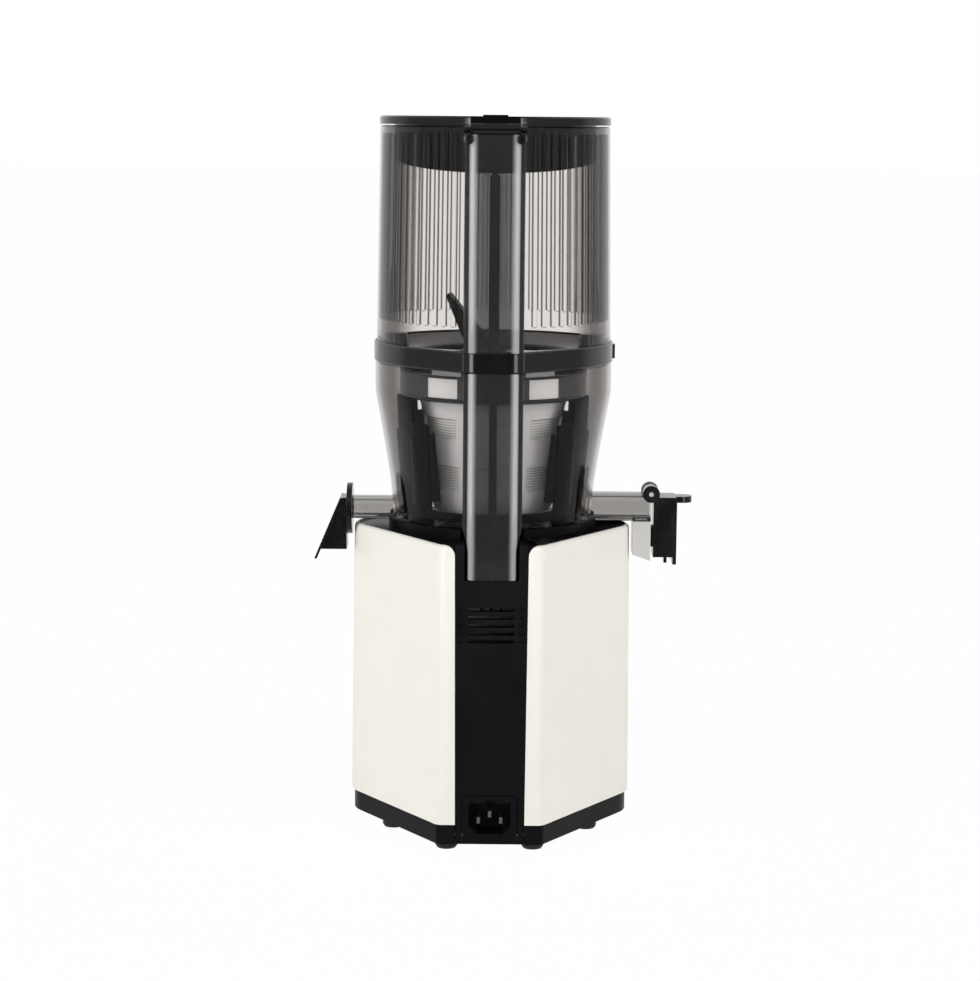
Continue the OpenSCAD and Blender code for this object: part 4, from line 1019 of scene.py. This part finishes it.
@dataclass(frozen=True)
class Hopper(Modelled):
    """Tall see-through hopper with flutes up its inner wall, its collar ring and its rear column."""

    foot_z: float = 303.3
    top_z: float = 448.3
    foot_r: float = 74.8
    top_r: float = 72.5
    wall: float = 2.6
    rim: float = 0.8
    flutes: int = 72
    flute_steps: int = 10
    groove_steps: int = 5
    flute_depth: float = 1.2
    flute_low: float = 327.3
    flute_top: float = 443.3
    plain_deg: float = 16.2
    column_top: float = 443.5
    hinge_y: float = 83.5
    hinge_z: float = 446.4
    ear_r: float = 4.5
    guide: tuple[Corner, Corner] = ((-13.2, 84.7, 438.7), (13.2, 85.6, 446.0))
    stem: tuple[Corner, Corner] = ((-7.3, 84.7, 432.0), (7.3, 85.5, 438.9))
    caps: Profile = ((-15.9, 441.0), (15.9, 441.0))
    cap_r: float = 3.3
    cap_y: tuple[float, float] = (84.0, 89.2)
    collar_low: float = 300.3
    collar_top: float = 313.3
    collar_r: float = 76.2
    collar_turn: float = 48.0
    collar_edge: float = 0.9
    throat_r: float = 68.9
    cut_z: tuple[float, float] = (290.0, 330.0)
    tab_y: float = 85.0
    tab_grow: float = 0.6
    pocket_y: float = 60.0
    fit: float = 0.15
    rod_y: float = 80.0
    rod_hole_r: float = 4.8
    latch: tuple[Corner, Corner] = ((-77.4, -4.0, 302.3), (-73.8, 4.0, 311.3))

    def radius(self, height: float) -> float:
        """Gives the outer radius at a height."""
        share = (height - self.foot_z) / (self.top_z - self.foot_z)
        return self.foot_r + (self.top_r - self.foot_r) * share

    def is_groove(self, vertex: bmesh.types.BMVert) -> bool:
        """Says whether a vertex lies at the bottom of a flute.

        Args:
            vertex: Vertex of the wall.

        Returns:
            Whether it does.
        """
        x, y, z = vertex.co / MM
        degrees = math.degrees(math.atan2(x, y))
        step = round(degrees * self.flutes * self.flute_steps / 360)
        in_groove = (step + self.groove_steps // 2) % self.flute_steps < self.groove_steps
        inside = math.hypot(x, y) < self.radius(z) - self.wall / 2
        fluted = self.flute_low - 0.1 < z < self.flute_top + 0.1 and abs(degrees) > self.plain_deg
        return inside and fluted and in_groove

    def shell(self) -> None:
        """Builds the fluted wall; the flutes' flanks get a darker film, painted shade for the light that they
        bend away.
        """
        shoulder, ramp = self.top_z - self.rim, self.rim
        outer = [(self.radius(z), z) for z in (self.foot_z, shoulder)]
        rim = [(self.top_r - self.rim, self.top_z), (self.top_r - self.wall + self.rim, self.top_z)]
        ramps = (self.flute_top + ramp, self.flute_top, self.flute_low, self.flute_low - ramp)
        inner = [(self.radius(z) - self.wall, z) for z in (shoulder, *ramps, self.foot_z)]
        piece = turned("hopper_wall", outer + rim + inner, self.flutes * self.flute_steps)
        bpy.ops.object.mode_set(mode="EDIT")
        choose(piece, Part.VERTS, self.is_groove)
        grow = 1 + self.flute_depth / (self.radius(self.flute_low) - self.wall)
        bpy.ops.transform.resize(value=(grow, grow, 1), center_override=(0, 0, 0))
        leave_edit()
        smooth(piece)
        dress(piece, self.looks["smoke_clear"], "smoke_clear", Body.HOPPER, "hopper")
        # The flanks take the darker film: painted shade.
        piece.data.materials.append(self.looks["flank"])
        for face in piece.data.polygons:
            x, y, z = face.center / MM
            depth = (math.hypot(x, y) - self.radius(z) + self.wall) / self.flute_depth
            if 0.2 < depth < 0.8 and abs(face.normal.z) < 0.3:
                face.material_index = 1

    def column(self) -> None:
        """Builds the hopper's part of the rear column."""
        ends = (self.foot_z, self.column_top)
        fronts = tuple(math.sqrt(self.radius(z) ** 2 - COLUMN.half_w**2) for z in ends)
        piece = COLUMN.shell("hopper_column", [(z, 1.0) for z in ends], fronts)
        dress(piece, self.looks["column"], "smoke_clear", Body.HOPPER, "hopper")

    def ears(self) -> None:
        """Builds the two hinge ears on top of the column."""
        ears = []
        for side in (-1, 1):
            inner, outer = sorted((side * (COLUMN.half_w - self.wall), side * COLUMN.half_w))
            ear = rod("hinge_ears", "X", (self.hinge_y, self.hinge_z), self.ear_r, inner, outer)
            low = (inner, self.top_r - 1.0, self.column_top)
            add(ear, block("web", low, (outer, self.hinge_y + self.ear_r, self.hinge_z)))
            ears.append(ear)
        piece = join(ears)
        soften(piece, 0.5)
        dress(piece, self.looks["smoke_clear"], "smoke_clear", Body.HOPPER, "hopper")

    def plunger(self) -> None:
        """Builds the black guide at the column's upper end with the two round caps of the hinge."""
        blocks = [block("column_guide", *self.guide), block("stem", *self.stem)]
        piece = join(blocks + [rod("cap", "Y", centre, self.cap_r, *self.cap_y) for centre in self.caps])
        soften(piece, 0.3)
        dress(piece, self.looks["gloss_black"], "gloss_black", Body.HOPPER, "hopper")

    def collar(self) -> None:
        """Builds the black collar ring with its rear tab round the column."""
        ring = arc((0.0, 0.0), self.collar_r, self.collar_turn, -89.5, 48)
        plan = mirrored(COLUMN.half_plan(self.tab_y, self.tab_grow) + ring)
        low, top, edge = self.collar_low, self.collar_top, self.collar_edge
        shrink = 1 - edge / self.collar_r
        steps = [(low, shrink), (low + edge, 1.0), (top - edge, 1.0), (top, shrink)]
        piece = solid("collar_ring", plan, [(z, scale, scale) for z, scale in steps])
        pocket = mirrored(COLUMN.half_plan(self.pocket_y, self.fit))
        cut(
            piece,
            prism("seat", disc(self.foot_r + self.fit), self.foot_z, self.cut_z[1]),
            prism("throat", disc(self.throat_r), *self.cut_z),
            prism("pocket", pocket, self.foot_z, self.cut_z[1]),
            prism("rod_hole", disc(self.rod_hole_r, 24, (0, self.rod_y)), *self.cut_z),
        )
        add(piece, block("latch", *self.latch))
        smooth(piece, 30)
        dress(piece, self.looks["gloss_black"], "gloss_black", Body.HOPPER, "hopper_collar")

    def build(self) -> None:
        """Builds the hopper's pieces in order."""
        for step in (self.shell, self.column, self.ears, self.plunger, self.collar):
            step()


# ---------- Bowl ----------


@dataclass(frozen=True)
class Bowl(Modelled):
    """See-through juicing bowl with its rear column and two spouts.

    Each spout is listed by half its width, its upper side and its end along X, the juice spout first.
    """

    profile: Profile = (
        (62.6, 198.0), (63.6, 199.0), (63.8, 205.0), (65.8, 225.0), (69.0, 245.0), (72.6, 265.0),
        (75.0, 278.0), (75.5, 283.0), (75.5, 299.4), (74.9, 300.0),
    )
    wall: float = 2.6
    floor_low: float = 198.0
    floor_top: float = 200.6
    floor_fillet: float = 1.5
    hub_r: float = 34.0
    spouts_at: tuple[Corner, ...] = ((10.0, 215.0, -102.04), (9.0, 211.5, 91.0))
    spout_low: float = 197.5
    spout_r: float = 5.0
    spout_wall: float = 2.0
    spout_start: float = 40.0
    room_r: float = 62.4
    room_z: tuple[float, float] = (150.0, 260.0)
    knuckle_r: float = 5.0
    knuckle_half: float = 5.3
    knuckle_lift: float = 0.5
    pin_r: float = 1.55
    foot_z: float = 173.2
    swelling: Profile = ((194.0, 0.84), (198.0, 0.9), (202.0, 0.96), (206.5, 1.0), (300.2, 1.0))
    foot_top: float = 190.0
    closed_to: float = 198.5
    column_fronts: tuple[float, float] = (61.0, 73.2)

    def spout(self, half: float, top: float, end: float, inset: float = 0.0) -> Piece:
        """Makes a closed bar with the spout's section.

        Args:
            half: Half of its width.
            top: Its upper side.
            end: Where it ends along X.
            inset: How far the section is moved inwards.

        Returns:
            The bar in object mode, which starts inside the bowl.
        """
        low, high = self.spout_low + inset, top - inset
        half -= inset
        corners = [(-half, low), (half, low), (half, high), (-half, high)]
        side = 1 if end > 0 else -1
        start, stop = sorted((side * (self.spout_start - inset), end + side * 10 * inset))
        return laid(prism("spout", rounded(corners, [self.spout_r - inset / 2] * 4, 8), start, stop), "X")

    def shell(self) -> None:
        """Builds the wall and floor with the two ports."""
        inner = [(radius - self.wall, z) for radius, z in reversed(self.profile[1:]) if z > self.floor_top]
        floor = [(inner[-1][0] - self.floor_fillet, self.floor_top), (self.hub_r, self.floor_top)]
        rings = [*self.profile, *inner, *floor, (self.hub_r, self.floor_low)]
        piece = turned("bowl_wall", rings, 144)
        for sizes in self.spouts_at:
            cut(piece, self.spout(*sizes, self.spout_wall))
        smooth(piece)
        dress(piece, self.looks["smoke_clear"], "smoke_clear", Body.BOWL, "juicing_bowl")

    def spouts(self) -> None:
        """Builds the two spouts as thin tubes that start at the wall, with the hinge of the juice cap."""
        tubes = []
        for sizes in self.spouts_at:
            tube = self.spout(*sizes)
            cut(tube, self.spout(*sizes, self.spout_wall), prism("room", disc(self.room_r), *self.room_z))
            tubes.append(tube)
        _, top, end = self.spouts_at[0]
        hinge = (end, top + self.knuckle_lift)
        knuckle = rod("knuckle", "Y", hinge, self.knuckle_r, -self.knuckle_half, self.knuckle_half)
        cut(knuckle, rod("pin_bore", "Y", hinge, self.pin_r, -20, 20))
        piece = join([*tubes, knuckle])
        piece.name = "bowl_spouts"
        smooth(piece)
        dress(piece, self.looks["spout"], "smoke_clear", Body.BOWL, "juicing_bowl")

    def column(self) -> None:
        """Builds the column with its narrower foot in the base's recess."""
        narrow = COLUMN.foot_half / COLUMN.half_w
        levels = [(self.foot_z, narrow), (self.foot_top, narrow), *self.swelling]
        piece = COLUMN.shell("bowl_column", levels, self.column_fronts, self.closed_to)
        dress(piece, self.looks["column"], "smoke_clear", Body.BOWL, "juicing_bowl")

    def build(self) -> None:
        """Builds the bowl's pieces in order."""
        for step in (self.shell, self.column, self.spouts):
            step()


# ---------- Strainer and wiper ----------


@dataclass(frozen=True)
class TurnedPart:
    """Part that is turned round the axis and pierced by rows of openings.

    A row is listed by its lower and upper side, the middle of each opening in degrees and their width.
    """

    name: str
    look: str
    slot: str
    node: str
    rings: Profile
    rows: tuple[tuple, ...] = ()
    body: Body = Body.BOWL
    edge: float = 0.0
    edge_faces: int = 1
    sharp_deg: float = 55.0
    cutter_r: tuple[float, float] = (20.0, 72.0)

    def build(self, looks: dict[str, Finish]) -> None:
        """Builds the part.

        Args:
            looks: Materials by name.
        """
        piece = turned(self.name, self.rings)
        for low, high, turns, width in self.rows:
            plans = [sector(self.cutter_r, turn - width / 2, turn + width / 2) for turn in turns]
            cut(piece, join([prism("opening", plan, low, high) for plan in plans]))
        if self.edge:
            soften(piece, self.edge, self.edge_faces, self.sharp_deg)
        else:
            smooth(piece)
        dress(piece, looks[self.look], self.slot, self.body, self.node)


WINDOWS = (36.0, 90.0, 144.0, -144.0, -90.0, -36.0)
TURNED_PARTS = (
    TurnedPart(
        "strainer_frame", "strainer_grey", "strainer_grey", "strainer",
        (
            (37.0, 205.0), (39.0, 209.0), (46.0, 271.0), (47.5, 276.0), (56.0, 277.5), (56.0, 279.3),
            (45.5, 276.4), (44.0, 271.4), (37.0, 209.4), (35.0, 205.4),
        ),
        ((219.5, 235.5, WINDOWS, 46.0), (253.5, 266.0, WINDOWS, 46.0)), edge=0.35,
    ),
    # The ring takes the darker copy of the strainer's resin: painted shade.
    TurnedPart(
        "strainer_ring", "ring", "strainer_grey", "strainer",
        (
            (56.0, 277.5), (59.4, 278.6), (60.0, 279.2), (60.0, 295.0), (57.8, 295.0), (57.8, 279.6),
            (56.0, 279.3),
        ),
        ((281.0, 293.2, (57.0, 123.0, 237.0, 303.0), 22.0),), edge=0.35,
    ),
    TurnedPart(
        "strainer_panes", "pane", "strainer_grey", "strainer",
        ((58.6, 280.6), (58.6, 293.6), (58.0, 293.6), (58.0, 280.6)),
    ),
    TurnedPart(
        "strainer_sheet", "sheet", "steel", "strainer_mesh",
        ((36.9, 212.0), (43.3, 268.0), (43.0, 268.0), (36.6, 212.0)),
    ),
    TurnedPart(
        "wiper_panels", "wiper", "black_plastic", "wiper_frame",
        ((57.2, 203.5), (61.0, 263.5), (61.6, 277.0), (59.2, 277.0), (58.6, 263.5), (54.8, 203.5)),
        (
            (209.0, 300.0, (-90.0,), 86.0), (209.0, 300.0, (90.0,), 86.0),
            (263.5, 300.0, (-90.0,), 114.0), (263.5, 300.0, (90.0,), 114.0),
        ),
        body=Body.WIPER, edge=0.5, edge_faces=2, sharp_deg=50.0, cutter_r=(30.0, 100.0),
    ),
)


# ---------- Whole juicer ----------


def paint_frame(finishes: dict[str, Finish]) -> None:
    """Gives every CAD node that shows the finish of its material slot.

    Args:
        finishes: Built materials by slot name.
    """
    for name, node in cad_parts.items():
        old = node.data.materials[0].name if node.data.materials else ""
        slot_name = next((key for key in finishes if old.startswith(key)), None)
        if slot_name is None:
            LOG.info("node %s keeps material %s", name, old)
            continue
        node.data.materials.clear()
        node.data.materials.append(finishes[slot_name])


def main() -> None:
    """Builds the studio and every piece in order."""
    Studio().create()
    Camera().create()
    looks = {key: finish.material() for key, finish in FINISHES.items()}
    paint_frame(looks)
    for name, finish in NODE_FINISHES.items():
        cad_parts[name].data.materials[0] = finish.material()
    looks |= {key: finish.material() for key, finish in SHELL_FINISHES.items()}
    for kind in (Base, Hopper, Bowl):
        kind(looks).build()
    for part in TURNED_PARTS:
        part.build(looks)


if __name__ == "__main__":
    main()
